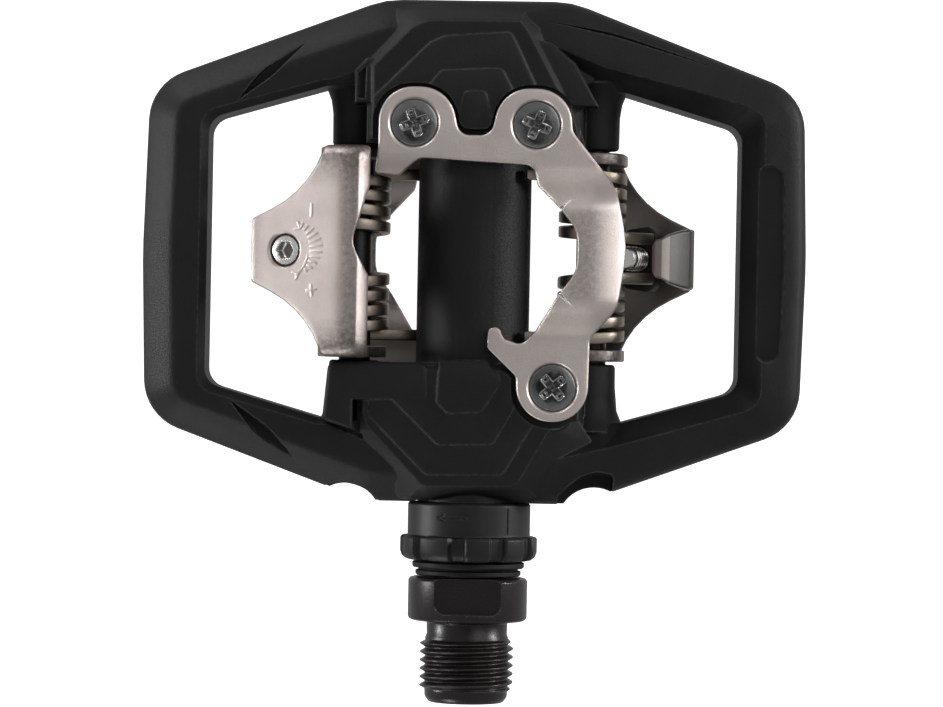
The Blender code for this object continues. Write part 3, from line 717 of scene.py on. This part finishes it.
PLATE_CORNERS = (
    (-14.6, 24.4, 5.2), (-4.1, 24.4, 5.2), (-2.6, 17.3, 2.0), (2.2, 17.3, 2.0), (3.8, 24.4, 5.2),
    (14.3, 24.4, 5.2), (14.3, 18.2, 2.0), (20.9, 10.0, 7.0), (22.8, 1.0, 16.0), (21.4, -8.4, 7.0),
    (17.5, -12.8, 1.5), (17.3, -25.3, 5.2), (6.9, -25.3, 5.2), (6.6, -18.6, 1.5), (2.2, -14.4, 0.9),
    (2.3, -11.5, 0.8), (3.9, -11.2, 0.8), (4.7, -13.0, 1.0), (7.4, -13.9, 1.6), (9.2, -12.0, 0.8),
    (12.7, -6.2, 0.4), (15.3, -2.8, 5.0), (15.3, 3.2, 5.0), (12.6, 6.5, 0.4), (9.3, 9.9, 1.0),
    (8.6, 13.0, 1.5), (-8.4, 13.8, 2.0), (-11.4, 11.2, 0.8), (-15.1, 11.4, 0.5), (-14.6, 15.5, 1.0),
)
ARM_BEND = (12.9, 6.7)  # where each arm starts to rise and ends, from the middle
HOOK_CROWN = 2.2
SCREW_SEAT = ((2.3, 9.4), (3.95, 11.05), (4.1, 11.2))  # radius and height
PLATE_CREASES = (((12.4, 6.2), (14.5, 7.9)), ((12.5, -5.9), (14.6, -8.0)))
CLAW_OUTLINE = (
    (15.7, CLAW_HALF_WIDTH, 0.6), (22.4, CLAW_HALF_WIDTH, 1.0), (25.0, 8.9, 15.0), (33.4, 4.7, 0.8),
)
CLAW_NOTCH = ((15.7, 9.8, 0.8), (17.0, 5.4, 3.0), (18.3, 1.3, 4.0), (15.7, -3.6, 0.8))
GRID = 0.7  # between the cuts that let a sheet bend


def bent(outline, height, thickness, edge):
    """Sheet metal with rounded edges over a flat outline, bent to height(x, y) at its upper face."""
    bm = slab(outline, -thickness, 0, edge=edge, foot=edge, steps=3)
    for axis in (0, 1):
        low = min(v.co[axis] for v in bm.verts)
        high = max(v.co[axis] for v in bm.verts)
        normal = [0, 0, 0]
        normal[axis] = 1
        for step in range(1, int((high - low) / GRID)):
            point = [0, 0, 0]
            point[axis] = low + step * GRID + 0.013
            whole = [*bm.verts, *bm.edges, *bm.faces]
            bmesh.ops.bisect_plane(bm, geom=whole, plane_co=point, plane_no=normal)
    for vert in bm.verts:
        vert.co.z += height(vert.co.x, vert.co.y)
    return bm


def plate_height(x, y):
    """Flat lugs, arms that rise to a crowned hook, and a corner that drops."""
    rise = smooth(abs(y + 0.3), *ARM_BEND) * smooth(x, 4.4, 9.4)
    crown = HOOK_TOP - PLATE_TOP - HOOK_CROWN * ramp(x, 17.0, 22.8) ** 1.9
    drop = 1.4 * smooth(y, 13.9, 11.2) * smooth(x, -7.2, -9.8)
    return PLATE_TOP + rise * crown - drop


def repaint(obj, name, faces=None):
    """Gives a finished piece, or some faces of it, another finish; here each carries painted shade or painted
    light.
    """
    if faces is None:
        obj.data.materials[0] = FINISHES[name]
        return
    obj.data.materials.append(FINISHES[name])
    for face in faces:
        obj.data.polygons[face].material_index = len(obj.data.materials) - 1


def fixed_plate(side):
    plate = solid(bent(rounded(PLATE_CORNERS), plate_height, PLATE, 0.28))
    for x, y, _ in PLATE_SCREWS:
        combine(plate, tube((x, y, 6), (x, y, 14), SCREW_SEAT[0][0], 48))
        seat = loft([circle(r, z, 64) for r, z in SCREW_SEAT])
        seat.transform(Matrix.Translation((x, y, 0)))
        combine(plate, seat)
    for start, end in PLATE_CREASES:
        ends = [(x, y, plate_height(x, y)) for x, y in (start, end)]
        combine(plate, tube(*ends, 0.22, 12, 0.04))
    piece(plate, f"cleat_plate_{side}", "plate_steel", f"fixed_plate_{side}", "pedal_body", side)
    # Painted shade on the hook's inner side.
    repaint(plate, "shaded_plate")


CROSS_RECESS = ((2.15, 0.62, -0.75, 0.2), (1.35, 0.42, -2.0, -0.3))  # half length and width, floor, top


def plate_screw(number, x, y, angle, side):
    """A countersunk screw with a cross recess."""
    top = PLATE_TOP - 0.15
    levels = ((1.9, 3.0), (2.0, 3.2), (2.0, top - 1.5), (3.45, top - 0.25), (3.4, top - 0.08), (3.1, top))
    bm = loft([circle(r, z, 64) for r, z in levels])
    bm.transform(Matrix.Translation((x, y, 0)))
    screw = solid(bm)
    for length, width, floor, lift in CROSS_RECESS:
        for turn in (angle, angle + 90):
            outline = clockwise(rounded(mirrored(((length, width, 0.3), (length, -width, 0.3)))))
            wing = flared(inset(outline, 0.2), floor, outline, lift)
            spin = Matrix.Rotation(math.radians(turn), 4, "Z")
            wing.transform(Matrix.Translation((x, y, top)) @ spin)
            combine(screw, wing)
    name = f"plate_screw_{side}{number}"
    piece(screw, f"cross_screw_{side}{number}", "screw_steel", name, "pedal_body", side)
    # A darker copy of the screw steel: painted shade, with painted highlights on its corners.
    repaint(screw, "cross_screw")


# ---------------------------------------------------------------- claws


EAR_BEND = 2.3


def claw_height(x, y):
    """Up a ramp from the hook's tip to a rounded ridge, down the slope, and over at the sides."""
    out = -x
    (tip, tip_up), (ridge, ridge_up) = HOOK_TIP, RIDGE
    ramp_up = tip_up + (out - tip) * (ridge_up - tip_up) / (ridge - 1.7 - tip)
    top = ridge_up - 0.06 * (out - ridge + 0.9)
    slope = ridge_up - (out - ridge) * math.tan(SLOPE)
    up = soft_min(soft_min(ramp_up, top, 0.8), slope, 0.9)
    past = abs(y - CLAW_MIDDLE_Y) - (CLAW_HALF_WIDTH - EAR_BEND)
    if past > 0:
        up -= EAR_BEND - math.sqrt(max(0.0, EAR_BEND**2 - min(past, EAR_BEND - 0.02) ** 2))
    return up


def soft_min(first, second, blend):
    """The lower of two heights, eased where they are within blend of each other."""
    share = ramp(0.5 + 0.5 * (second - first) / blend, 0, 1)
    return second + (first - second) * share - blend * share * (1 - share)


def claw_outline():
    right = [(-out, y, radius) for out, y, radius in CLAW_OUTLINE]
    left = [(-out, -y, radius) for out, y, radius in reversed(CLAW_OUTLINE)]
    inner = [(-out, y, radius) for out, y, radius in reversed(CLAW_NOTCH)]
    return rounded([(x, y + CLAW_MIDDLE_Y, radius) for x, y, radius in right + left + inner])


def across(outline, low, high, edge):
    """A plate of an (out, up) outline, square to the pin, from low to high along it."""
    bm = slab(outline, low, high, edge=edge, foot=edge, steps=3)
    bm.transform(Matrix(((-1, 0, 0, 0), (0, 0, 1, 0), (0, 1, 0, 0), (0, 0, 0, 1))))
    return bm


EAR_RADIUS = 4.8
EAR_SHOULDER = ((23.3, 5.0), (22.2, 11.0), (18.8, 12.4), (17.2, 12.2), (15.9, 10.6), (15.6, 7.0))


def ear_outline():
    """A half circle round the pin, and straight sides up to the sheet."""
    points = []
    for step in range(25):
        angle = math.radians(180 + 7.5 * step)
        points.append((PIN_OUT + EAR_RADIUS * math.cos(angle), EAR_RADIUS * math.sin(angle)))
    return [*points, *EAR_SHOULDER]


TONGUE_PATH = (  # out and up, along the middle of the metal
    (32.4, 7.9), (32.65, 5.0), (32.65, 0.6), (32.2, -0.7), (30.9, -1.4), (29.4, -1.9), (28.6, -1.95),
    (28.0, -1.5), (27.8, -0.7),
)
TONGUE_WIDTHS = (4.6, 4.6, 4.6, 4.5, 4.2, 3.7, 3.1, 2.9, 2.2)


def ribbon(path, widths, thickness, edge):
    """A strip along an (out, up) path, as wide either side of the claw's middle as widths says."""
    half = thickness / 2
    rings = []
    for i, (out, up) in enumerate(path):
        before, after = path[max(0, i - 1)], path[min(len(path) - 1, i + 1)]
        along = Vector((after[0] - before[0], after[1] - before[1])).normalized()
        side = Vector((along.y, -along.x))
        ring = []
        for across_sign, depth_sign in ((1, 1), (1, -1), (-1, -1), (-1, 1)):
            for first in (False, True) if across_sign * depth_sign > 0 else (True, False):
                wide = widths[i] - (0 if first else edge)
                deep = half - (edge if first else 0)
                spot = Vector((out, up)) + side * deep * depth_sign
                ring.append((-spot.x, CLAW_MIDDLE_Y + wide * across_sign, spot.y))
        rings.append(ring)
    return loft(rings)


def screw_frame():
    """Where the tension screw's axis leaves the claw's face, with +Z out along it."""
    up = RIDGE[1] - (SCREW_AT - RIDGE[0]) * math.tan(SLOPE)
    return Matrix.Translation((-SCREW_AT, CLAW_MIDDLE_Y, up)) @ Matrix.Rotation(-SLOPE, 4, "Y")


def mark(length, width, tall=0.055):
    """A low pad with sloping sides, on the claw's face."""
    rings = []
    for grow, z in ((0.05, -0.2), (0.05, 0.0), (-0.04, tall)):
        a, b = length / 2 + grow, width / 2 + grow
        rings.append([(-a, -b, z), (a, -b, z), (a, b, z), (-a, b, z)])
    return loft(rings)


def dial_marks():
    """A fan of ticks inside an arc, with a minus outboard and a plus towards the crank."""
    marks = []

    def place(x, y, turn, length):
        spin = Matrix.Rotation(math.radians(turn), 4, "Z")
        marks.append((Matrix.Translation((x, y, 0)) @ spin, (length, 0.26)))

    def polar(radius, degrees, turn, length):
        angle = math.radians(degrees)
        place(radius * math.cos(angle), radius * math.sin(angle), turn, length)

    for tick in range(11):
        share = tick / 5 - 1
        degrees = 7 - 44 * share
        length = 0.6 + 1.5 * (1 - abs(share) ** 1.5)
        polar(4.5 + length / 2, degrees, degrees, length)
    for step in range(9):
        degrees = -14 - 5.4 * step
        polar(4.15, degrees, degrees + 90, 0.42)
    for degrees, lean in ((56, 1), (-59, -1)):
        polar(4.5, degrees, degrees + 60 * lean, 1.0)
        polar(3.9, degrees, degrees + 125 * lean, 1.0)
    place(4.6, 6.0, 90, 1.8)
    place(4.8, -5.9, 98, 1.7)
    place(4.8, -5.9, 8, 1.7)
    return marks


CLAW_HOLE = ((2.5, -4), (2.5, -0.35), (2.85, 0.05), (2.85, 2))  # radius, and height along the screw


def join(obj, bm):
    """Adds a shape that sinks into obj as one more shell of it."""
    extra = solid(bm).data
    whole = bmesh.new()
    whole.from_mesh(obj.data)
    whole.from_mesh(extra)
    whole.to_mesh(obj.data)
    whole.free()
    bpy.data.meshes.remove(extra)


def claw(side):
    body = solid(bent(claw_outline(), claw_height, SHEET / math.cos(SLOPE), 0.26))
    inner = CLAW_HALF_WIDTH - SHEET
    for low in (CLAW_MIDDLE_Y + inner, CLAW_MIDDLE_Y - CLAW_HALF_WIDTH + 0.03):
        combine(body, across(ear_outline(), low, low + SHEET - 0.03, 0.24), "UNION")
    combine(body, ribbon(TONGUE_PATH, TONGUE_WIDTHS, SHEET * 0.9, 0.3), "UNION")
    combine(body, tube((-PIN_OUT, -30, 0), (-PIN_OUT, 30, 0), PIN_RADIUS + PIN_PLAY, 48))
    hole = loft([circle(r, z, 64) for r, z in CLAW_HOLE])
    hole.transform(screw_frame())
    combine(body, hole)
    for turn, size in dial_marks():
        bm = mark(*size)
        bm.transform(screw_frame() @ turn)
        join(body, bm)
    faces = body.data.polygons
    # Faces under the sloping sheet, for painted shade.
    inner = [f.index for f in faces if f.normal.z < -0.75 and f.center.z > 3]
    # Faces under the tongue, for painted shade.
    tongue = [f.index for f in faces if f.normal.z < -0.2 and f.center.z < 2 and f.center.x < -29.2]
    piece(body, f"release_claw_{side}", "plate_steel", f"claw_{side}", f"claw_{side}", side)
    # Painted shade over the claw, darker still under the sheet and under the tongue.
    repaint(body, "shaded_claw")
    repaint(body, "shaded_claw_inside", inner)
    repaint(body, "tongue", tongue)


# Radius, and height along the tension screw, from its point up.
SCREW_POINT = ((1.5, -12.4), (1.75, -12.1), (1.9, -11.8))
SCREW_HEAD = (
    (1.9, -5.2), (1.9, -3.1), (3.2, -3.1), (3.3, -3.0), (3.3, -2.2), (3.2, -2.08), (2.25, -2.05),
    (2.25, -0.65), (2.15, -0.4), (1.95, -0.3),
)
HEX_SOCKET = ((1.2, -2.0), (1.42, -1.8), (1.42, -0.45), (1.62, -0.1))


def tension_screw(side):
    """A hex socket screw whose head fills the claw's hole, with its thread inwards."""
    levels = [*SCREW_POINT]
    for turn in range(8):
        base = -11.7 + 0.8 * turn
        levels += [(1.9, base), (1.9, base + 0.2), (1.62, base + 0.45), (1.62, base + 0.55)]
    levels += SCREW_HEAD
    screw = solid(loft([circle(r, z, 64) for r, z in levels]))
    combine(screw, loft([circle(r, z, 6) for r, z in HEX_SOCKET]))
    faces = screw.data.polygons
    # The floor of the hex socket, for painted shade.
    bottom = [f.index for f in faces if -2.05 < f.center.z < -1.9 and f.center.xy.length < 1.3]
    screw.data.transform(screw_frame())
    name = f"tension_screw_{side}"
    piece(screw, f"socket_screw_{side}", "screw_steel", name, name, side)
    # A lighter copy of the steel, painted light, and painted shade on the socket's floor.
    repaint(screw, "lit_screw")
    repaint(screw, "tongue", bottom)


def adjuster_plate(side):
    corners = ((-3.0, 5.2, 1.6), (2.8, 4.4, 1.6), (2.8, -4.4, 1.6), (-3.0, -5.2, 1.6))
    plate = solid(slab(rounded(corners), -7.4, -5.0, edge=0.3, foot=0.3))
    combine(plate, tube((0, 0, -20), (0, 0, 0), 2.0, 48))
    for y in (3.4, -3.4):
        step = box((1.2, 0.5, 0.4))
        step.transform(Matrix.Translation((0.4, y, -7.4)))
        combine(plate, step)
    plate.data.transform(screw_frame())
    name = f"adjuster_plate_{side}"
    piece(plate, f"spring_seat_{side}", "adjuster_steel", name, name, side)


# ---------------------------------------------------------------- springs and pins


COIL_RADIUS = 4.3
COIL_PITCH = 2.25
COIL_START = 3.05
COIL_TURNS = 4
WIRE = 1.72
WIRE_EDGE = 0.24
LEG_TIP = (26.9, 2.0)
REST_TIP = (7.7, -5.6)


def spring_line(sign):
    """Centre line from the leg on the adjuster plate, round the pin, to the leg on the axle tube."""
    pin = Vector((PIN_OUT, 0))

    def touch(tip, turn):
        away = Vector(tip) - pin
        return math.atan2(away.y, away.x) + turn * math.acos(COIL_RADIUS / away.length)

    first = touch(LEG_TIP, -1)
    last = touch(REST_TIP, 1) - COIL_TURNS * 2 * math.pi
    steps = 110
    points = []
    for step in range(steps + 1):
        angle = first + (last - first) * step / steps
        out = PIN_OUT + COIL_RADIUS * math.cos(angle)
        along = COIL_START + COIL_PITCH * (first - angle) / (2 * math.pi)
        points.append(Vector((out, along, COIL_RADIUS * math.sin(angle))))
    start = Vector((LEG_TIP[0], COIL_START, LEG_TIP[1]))
    end = Vector((REST_TIP[0], points[-1].y, REST_TIP[1]))
    ahead = [start.lerp(points[0], share) for share in (0, 0.03, 0.35, 0.7)]
    behind = [points[-1].lerp(end, share) for share in (0.3, 0.65, 0.97, 1)]
    line = ahead + points + behind
    return [Vector((-out, CLAW_MIDDLE_Y + sign * along, up)) for out, along, up in line]


def torsion_spring(end, sign, side):
    """Square wire, kept level along the pin."""
    line = spring_line(sign)
    half = WIRE / 2
    section = []
    for u, v in ((1, 1), (-1, 1), (-1, -1), (1, -1)):
        for share in (0, 45, 90):
            turn = math.radians(share)
            ease = (1 - math.cos(turn), 1 - math.sin(turn))
            ease = ease if u * v > 0 else ease[::-1]
            section.append((u * (half - WIRE_EDGE * ease[0]), v * (half - WIRE_EDGE * ease[1])))
    rings = []
    for i, place in enumerate(line):
        along = line[min(i + 1, len(line) - 1)] - line[max(i - 1, 0)]
        axial = Vector((0, 1, 0))
        outward = Vector((along.z, 0, -along.x)).normalized()
        ends = 0.82 if i in (0, len(line) - 1) else 1.0
        rings.append([place + outward * u * ends + axial * v * ends for u, v in section])
    name = f"torsion_spring_{side}_{end}"
    spring = solid(loft(rings))
    piece(spring, f"coil_{side}_{end}", "spring_steel", name, "pedal_body", side, 40, rides=False)
    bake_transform(spring)


def pivot_pin(side):
    rings = [(2.0, -PIN_HALF_LENGTH), (2.3, -PIN_HALF_LENGTH + 0.12), (2.4, -PIN_HALF_LENGTH + 0.4)]
    rings += [(radius, -z) for radius, z in reversed(rings)]
    pin = solid(loft([circle(r, z, 72) for r, z in rings]))
    dimple = loft([circle(r, z, 24) for r, z in ((0.2, -0.5), (0.9, 0.1))])
    dimple.transform(Matrix.Translation((0, 0, PIN_HALF_LENGTH)))
    combine(pin, dimple)
    pin.data.transform(Matrix.Translation((-PIN_OUT, 0, 0)) @ Matrix.Rotation(math.pi / 2, 4, "X"))
    piece(pin, f"hinge_pin_{side}", "black_steel", f"pivot_pin_{side}", "pedal_body", side)


# ---------------------------------------------------------------- axle unit


FLAT_HALF = 7.5
THREAD = (-66.6, -58.4)
THREAD_RADII = (6.3, 7.1)
THREAD_PITCH = 1.27
AXLE_TIP = -68.2
# (y, radius) from the far end to the thread, and past it.
AXLE_PROFILE = (
    (31.0, 2.0), (30.8, 2.4), (18.1, 2.4), (18.0, 3.3), (10.6, 3.3), (10.4, 4.4),
    (-15.0, 4.4), (-20.0, 5.0), (-49.2, 5.0), (-49.2, 8.2), (-49.35, 8.75), (-49.7, 9.05),
    (-55.2, 9.05), (-55.6, 8.85), (-55.8, 8.4), (-55.8, 6.9), (-55.9, 6.45), (-56.2, 6.15),
    (-57.9, 6.1), (THREAD[1] + 0.05, THREAD_RADII[0]),
)
AXLE_END = ((-67.2, 6.28), (-67.6, 6.1), (-68.1, 5.7), (AXLE_TIP, 5.5))
AXLE_SOCKET = ((3.0, -8.4), (4.6, -8.0), (4.6, -0.5), (5.0, 0.3))  # radius and depth
FLAT_Y = -54.6
COLLAR = (-46.7, -42.9)
COLLAR_RIDGES = 10
RIDGE_HEIGHT = 0.95
FLAT_RUN_OUT = ((12.0, 9.0, 0), (12.0, 2.4, 0), (5.6, 2.4, 2.4), (4.4, 0.0, 1.5))
BALL_RADIUS = 1.19
BALL_CIRCLE = 4.6
BALLS = 12
BALL_ROWS = {"inner": 12.0, "outer": 22.0}  # place along the axle


def thread_radius(y, radius, angle):
    """A single-start thread that runs out at both ends."""
    if not THREAD[0] - 0.01 <= y <= THREAD[1] + 0.01:
        return radius
    phase = ((y / THREAD_PITCH) - angle / (2 * math.pi)) % 1.0
    rise = min(1.0, max(0.0, 2.6 * min(phase, 1 - phase) - 0.12))
    ends = smooth(y, THREAD[0], THREAD[0] + 0.7) * smooth(y, THREAD[1], THREAD[1] - 0.9)
    root, crest = THREAD_RADII
    return root + (crest - root) * rise * ends


def spindle():
    steps = 96
    length = THREAD[1] - THREAD[0]
    thread = [(THREAD[1] - length * i / steps, THREAD_RADII[0]) for i in range(steps + 1)]
    axle = solid(lathe([*AXLE_PROFILE, *thread, *AXLE_END], 120, thread_radius))
    for sign in (-1, 1):
        bm = slab(rounded(mirrored(FLAT_RUN_OUT)), 0, 6)
        place = Matrix.Translation((0, FLAT_Y, sign * FLAT_HALF))
        turn = Matrix.Rotation(0 if sign > 0 else math.pi, 4, "Y")
        bm.transform(place @ turn)
        combine(axle, bm)
    socket = loft([circle(r, z, 6) for r, z in AXLE_SOCKET])
    socket.transform(Matrix.Translation((0, AXLE_TIP, 0)) @ Matrix.Rotation(math.pi / 2, 4, "X"))
    combine(axle, socket)
    piece(axle, "axle", "black_steel", "spindle", "axle", sharp=30)


def collar_radius(y, radius, angle):
    """Rounded ridges for the tool."""
    if y > COLLAR[1] + 0.01 or y < COLLAR[0] - 0.01:
        return radius
    turn = ((angle / (2 * math.pi) * COLLAR_RIDGES + 0.28) % 1.0) - 0.5
    rise = smooth(abs(turn), 0.36, 0.28)
    return radius - RIDGE_HEIGHT * (1 - rise)


BOLT_RADIUS = 9.3
BOLT_PROFILE = (
    (-25.2, 5.9), (-25.0, 6.2), (-25.0, 7.2), (-25.3, 7.45), (-37.75, 7.45), (-37.95, 9.1),
    (-38.2, BOLT_RADIUS), (-42.75, BOLT_RADIUS), (-42.88, 9.4), (-42.9, 9.5), (-43.0, 10.2), (-43.3, 10.4),
    (-45.3, 10.4), (-46.0, 10.15), (-46.5, 9.6), (-46.65, 8.9), (-46.65, 6.1), (-46.4, 5.9),
)
BOLT_MARKS = (  # an arrow's shaft and head: start, end and how many parts follow the round
    ((-0.3, -40.05), (-4.5, -40.05), 5),
    ((-4.75, -40.2), (-3.7, -39.5), 2),
    ((-4.75, -39.9), (-3.7, -40.6), 2),
)
BOLT_LINE = (5.8, -38.6, -42.4)  # across, start and end
SCRATCH = 0.16


def scratch(start, end, parts, radius):
    """A round groove that follows a cylinder along the axle from start to end."""
    rings = []
    for i in range(parts + 1):
        x = start[0] + (end[0] - start[0]) * i / parts
        y = start[1] + (end[1] - start[1]) * i / parts
        z = math.sqrt(radius**2 - x**2)
        turns = [math.radians(45 * step + 10) for step in range(8)]
        rings.append([(x, y + SCRATCH * math.cos(turn), z + SCRATCH * math.sin(turn)) for turn in turns])
    return loft(rings)


def lock_bolt():
    bolt = solid(lathe(BOLT_PROFILE, 240, collar_radius, closed=True))
    for start, end, parts in BOLT_MARKS:
        combine(bolt, scratch(start, end, parts, BOLT_RADIUS))
    x, start, end = BOLT_LINE
    up = math.sqrt(BOLT_RADIUS**2 - x**2)
    combine(bolt, tube((x, start, up), (x, end, up), SCRATCH, 12))
    piece(bolt, "lock_ring", "resin", "lock_bolt", "pedal_body", sharp=30)


SEAL_PROFILE = (
    (-46.9, 5.2), (-46.9, 8.3), (-47.0, 8.5), (-47.6, 8.5), (-47.8, 8.3), (-47.95, 7.5),
    (-48.1, 7.6), (-48.25, 8.0), (-48.8, 8.0), (-48.95, 7.8), (-49.0, 7.2), (-49.0, 5.2),
)


def axle_seal():
    seal = solid(lathe(SEAL_PROFILE, 120, closed=True))
    piece(seal, "lip_seal", "rubber", "axle_seal", "pedal_body")


def ball_row(row, y):
    for ball in range(BALLS):
        angle = ball * 2 * math.pi / BALLS
        bm = bmesh.new()
        bmesh.ops.create_icosphere(bm, subdivisions=3, radius=BALL_RADIUS)
        place = (BALL_CIRCLE * math.cos(angle), y, BALL_CIRCLE * math.sin(angle))
        bm.transform(Matrix.Translation(place))
        number = f"{ball + 1:02d}"
        name, node = f"{row}_steel_ball_{number}", f"{row}_ball_{number}"
        piece(solid(bm), name, "bearing_steel", node, f"{row}_ball_row")


# ---------------------------------------------------------------- studio


FLOOR_Z = -0.0157
FLOOR_HALF = 1.5
SCENE_CENTRE = (-0.0001, -0.0002)
CAMERA_HEIGHT = 0.6
SENSOR = 36
FIELD = 0.1433
ROLL = math.radians(1.1)
WHITE = (1, 1, 1)
PAPER = (0.8, 0.8, 0.8)
PAPER_GLOW = 1.0  # a lit table, so that nothing shades it
FELT = (0.005, 0.005, 0.005)
CARD = (0.12, 0.72)  # radius and height of the dark card round the lens
WORLD_GLOW = 0.5
LIGHTS = (  # place, size and power, in metres and watts
    ("from_left", (-1.1, 0.02, 0.06), 0.24, 8.5),
    ("upper_left", (-0.6, 0.95, 0.08), 0.24, 5.0),
    ("from_right", (1.1, 0.3, 0.14), 0.3, 10.0),
    ("lower_left", (-0.5, -0.95, 0.09), 0.3, 3.6),
    ("over_right", (0.55, 0.35, 0.75), 0.7, 2.0),
)


def plain(name, colour, others=()):
    """A material of one colour, with other sockets of its shader as (name, value) pairs."""
    made = bpy.data.materials.new(name)
    made.use_nodes = True
    for socket, value in (("Base Color", (*colour, 1)), *others):
        made.node_tree.nodes["Principled BSDF"].inputs[socket].default_value = value
    return made


def floor_and_card():
    """A white table that lights nothing, and a dark card round the lens for the steel to reflect."""
    mesh = bpy.data.meshes.new("floor")
    half = FLOOR_HALF
    corners = [(-half, -half, 0), (half, -half, 0), (half, half, 0), (-half, half, 0)]
    mesh.from_pydata(corners, [], [(0, 1, 2, 3)])
    floor = show(bpy.data.objects.new("floor", mesh))
    floor.location.z = FLOOR_Z
    glow = (("Roughness", 0.9), ("Emission Color", (*WHITE, 1)), ("Emission Strength", PAPER_GLOW))
    mesh.materials.append(plain("white_paper", PAPER, glow))
    floor.visible_glossy = False
    floor.visible_diffuse = False
    bm = bmesh.new()
    radius, height = CARD
    bm.faces.new([bm.verts.new(point) for point in circle(radius, height, 48)])
    card = solid(bm)
    card.name = "dark_card"
    card.data.materials.append(plain("black_felt", FELT))


def lights():
    world = bpy.data.worlds.new("studio")
    world.use_nodes = True
    background = world.node_tree.nodes["Background"].inputs
    background["Color"].default_value = (*WHITE, 1)
    background["Strength"].default_value = WORLD_GLOW
    bpy.context.scene.world = world
    for name, place, size, power in LIGHTS:
        light = bpy.data.lights.new(name, "AREA")
        light.shape = "DISK"
        light.size = size
        light.energy = power
        lamp = show(bpy.data.objects.new(name, light))
        lamp.location = place
        lamp.rotation_euler = Vector(place).to_track_quat("Z", "Y").to_euler()


def camera():
    """Straight down on face a."""
    lens = bpy.data.cameras.new("camera")
    lens.sensor_width = SENSOR
    lens.lens = SENSOR * CAMERA_HEIGHT / FIELD
    viewer = show(bpy.data.objects.new("camera", lens))
    viewer.location = (*SCENE_CENTRE, CAMERA_HEIGHT)
    viewer.rotation_euler = (0, 0, ROLL)
    bpy.context.scene.camera = viewer
    bpy.context.scene.view_settings.view_transform = "Standard"


def paint_frame():
    """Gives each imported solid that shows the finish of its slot."""
    for part in frame["record"]["subparts"]:
        mesh = frame["nodes"][part["node"]].data
        for i in range(len(mesh.materials)):
            mesh.materials[i] = MATERIALS[part["material_slot"]]


paint_frame()
pedal_casting()
spindle()
lock_bolt()
axle_seal()
for row_name, row_y in BALL_ROWS.items():
    ball_row(row_name, row_y)
for face in SIDES:
    fixed_plate(face)
    for count, (at_x, at_y, lean) in enumerate(PLATE_SCREWS, 1):
        plate_screw(count, at_x, at_y, lean, face)
    claw(face)
    tension_screw(face)
    adjuster_plate(face)
    pivot_pin(face)
    torsion_spring("outboard", 1, face)
    torsion_spring("crank", -1, face)
floor_and_card()
lights()
camera()
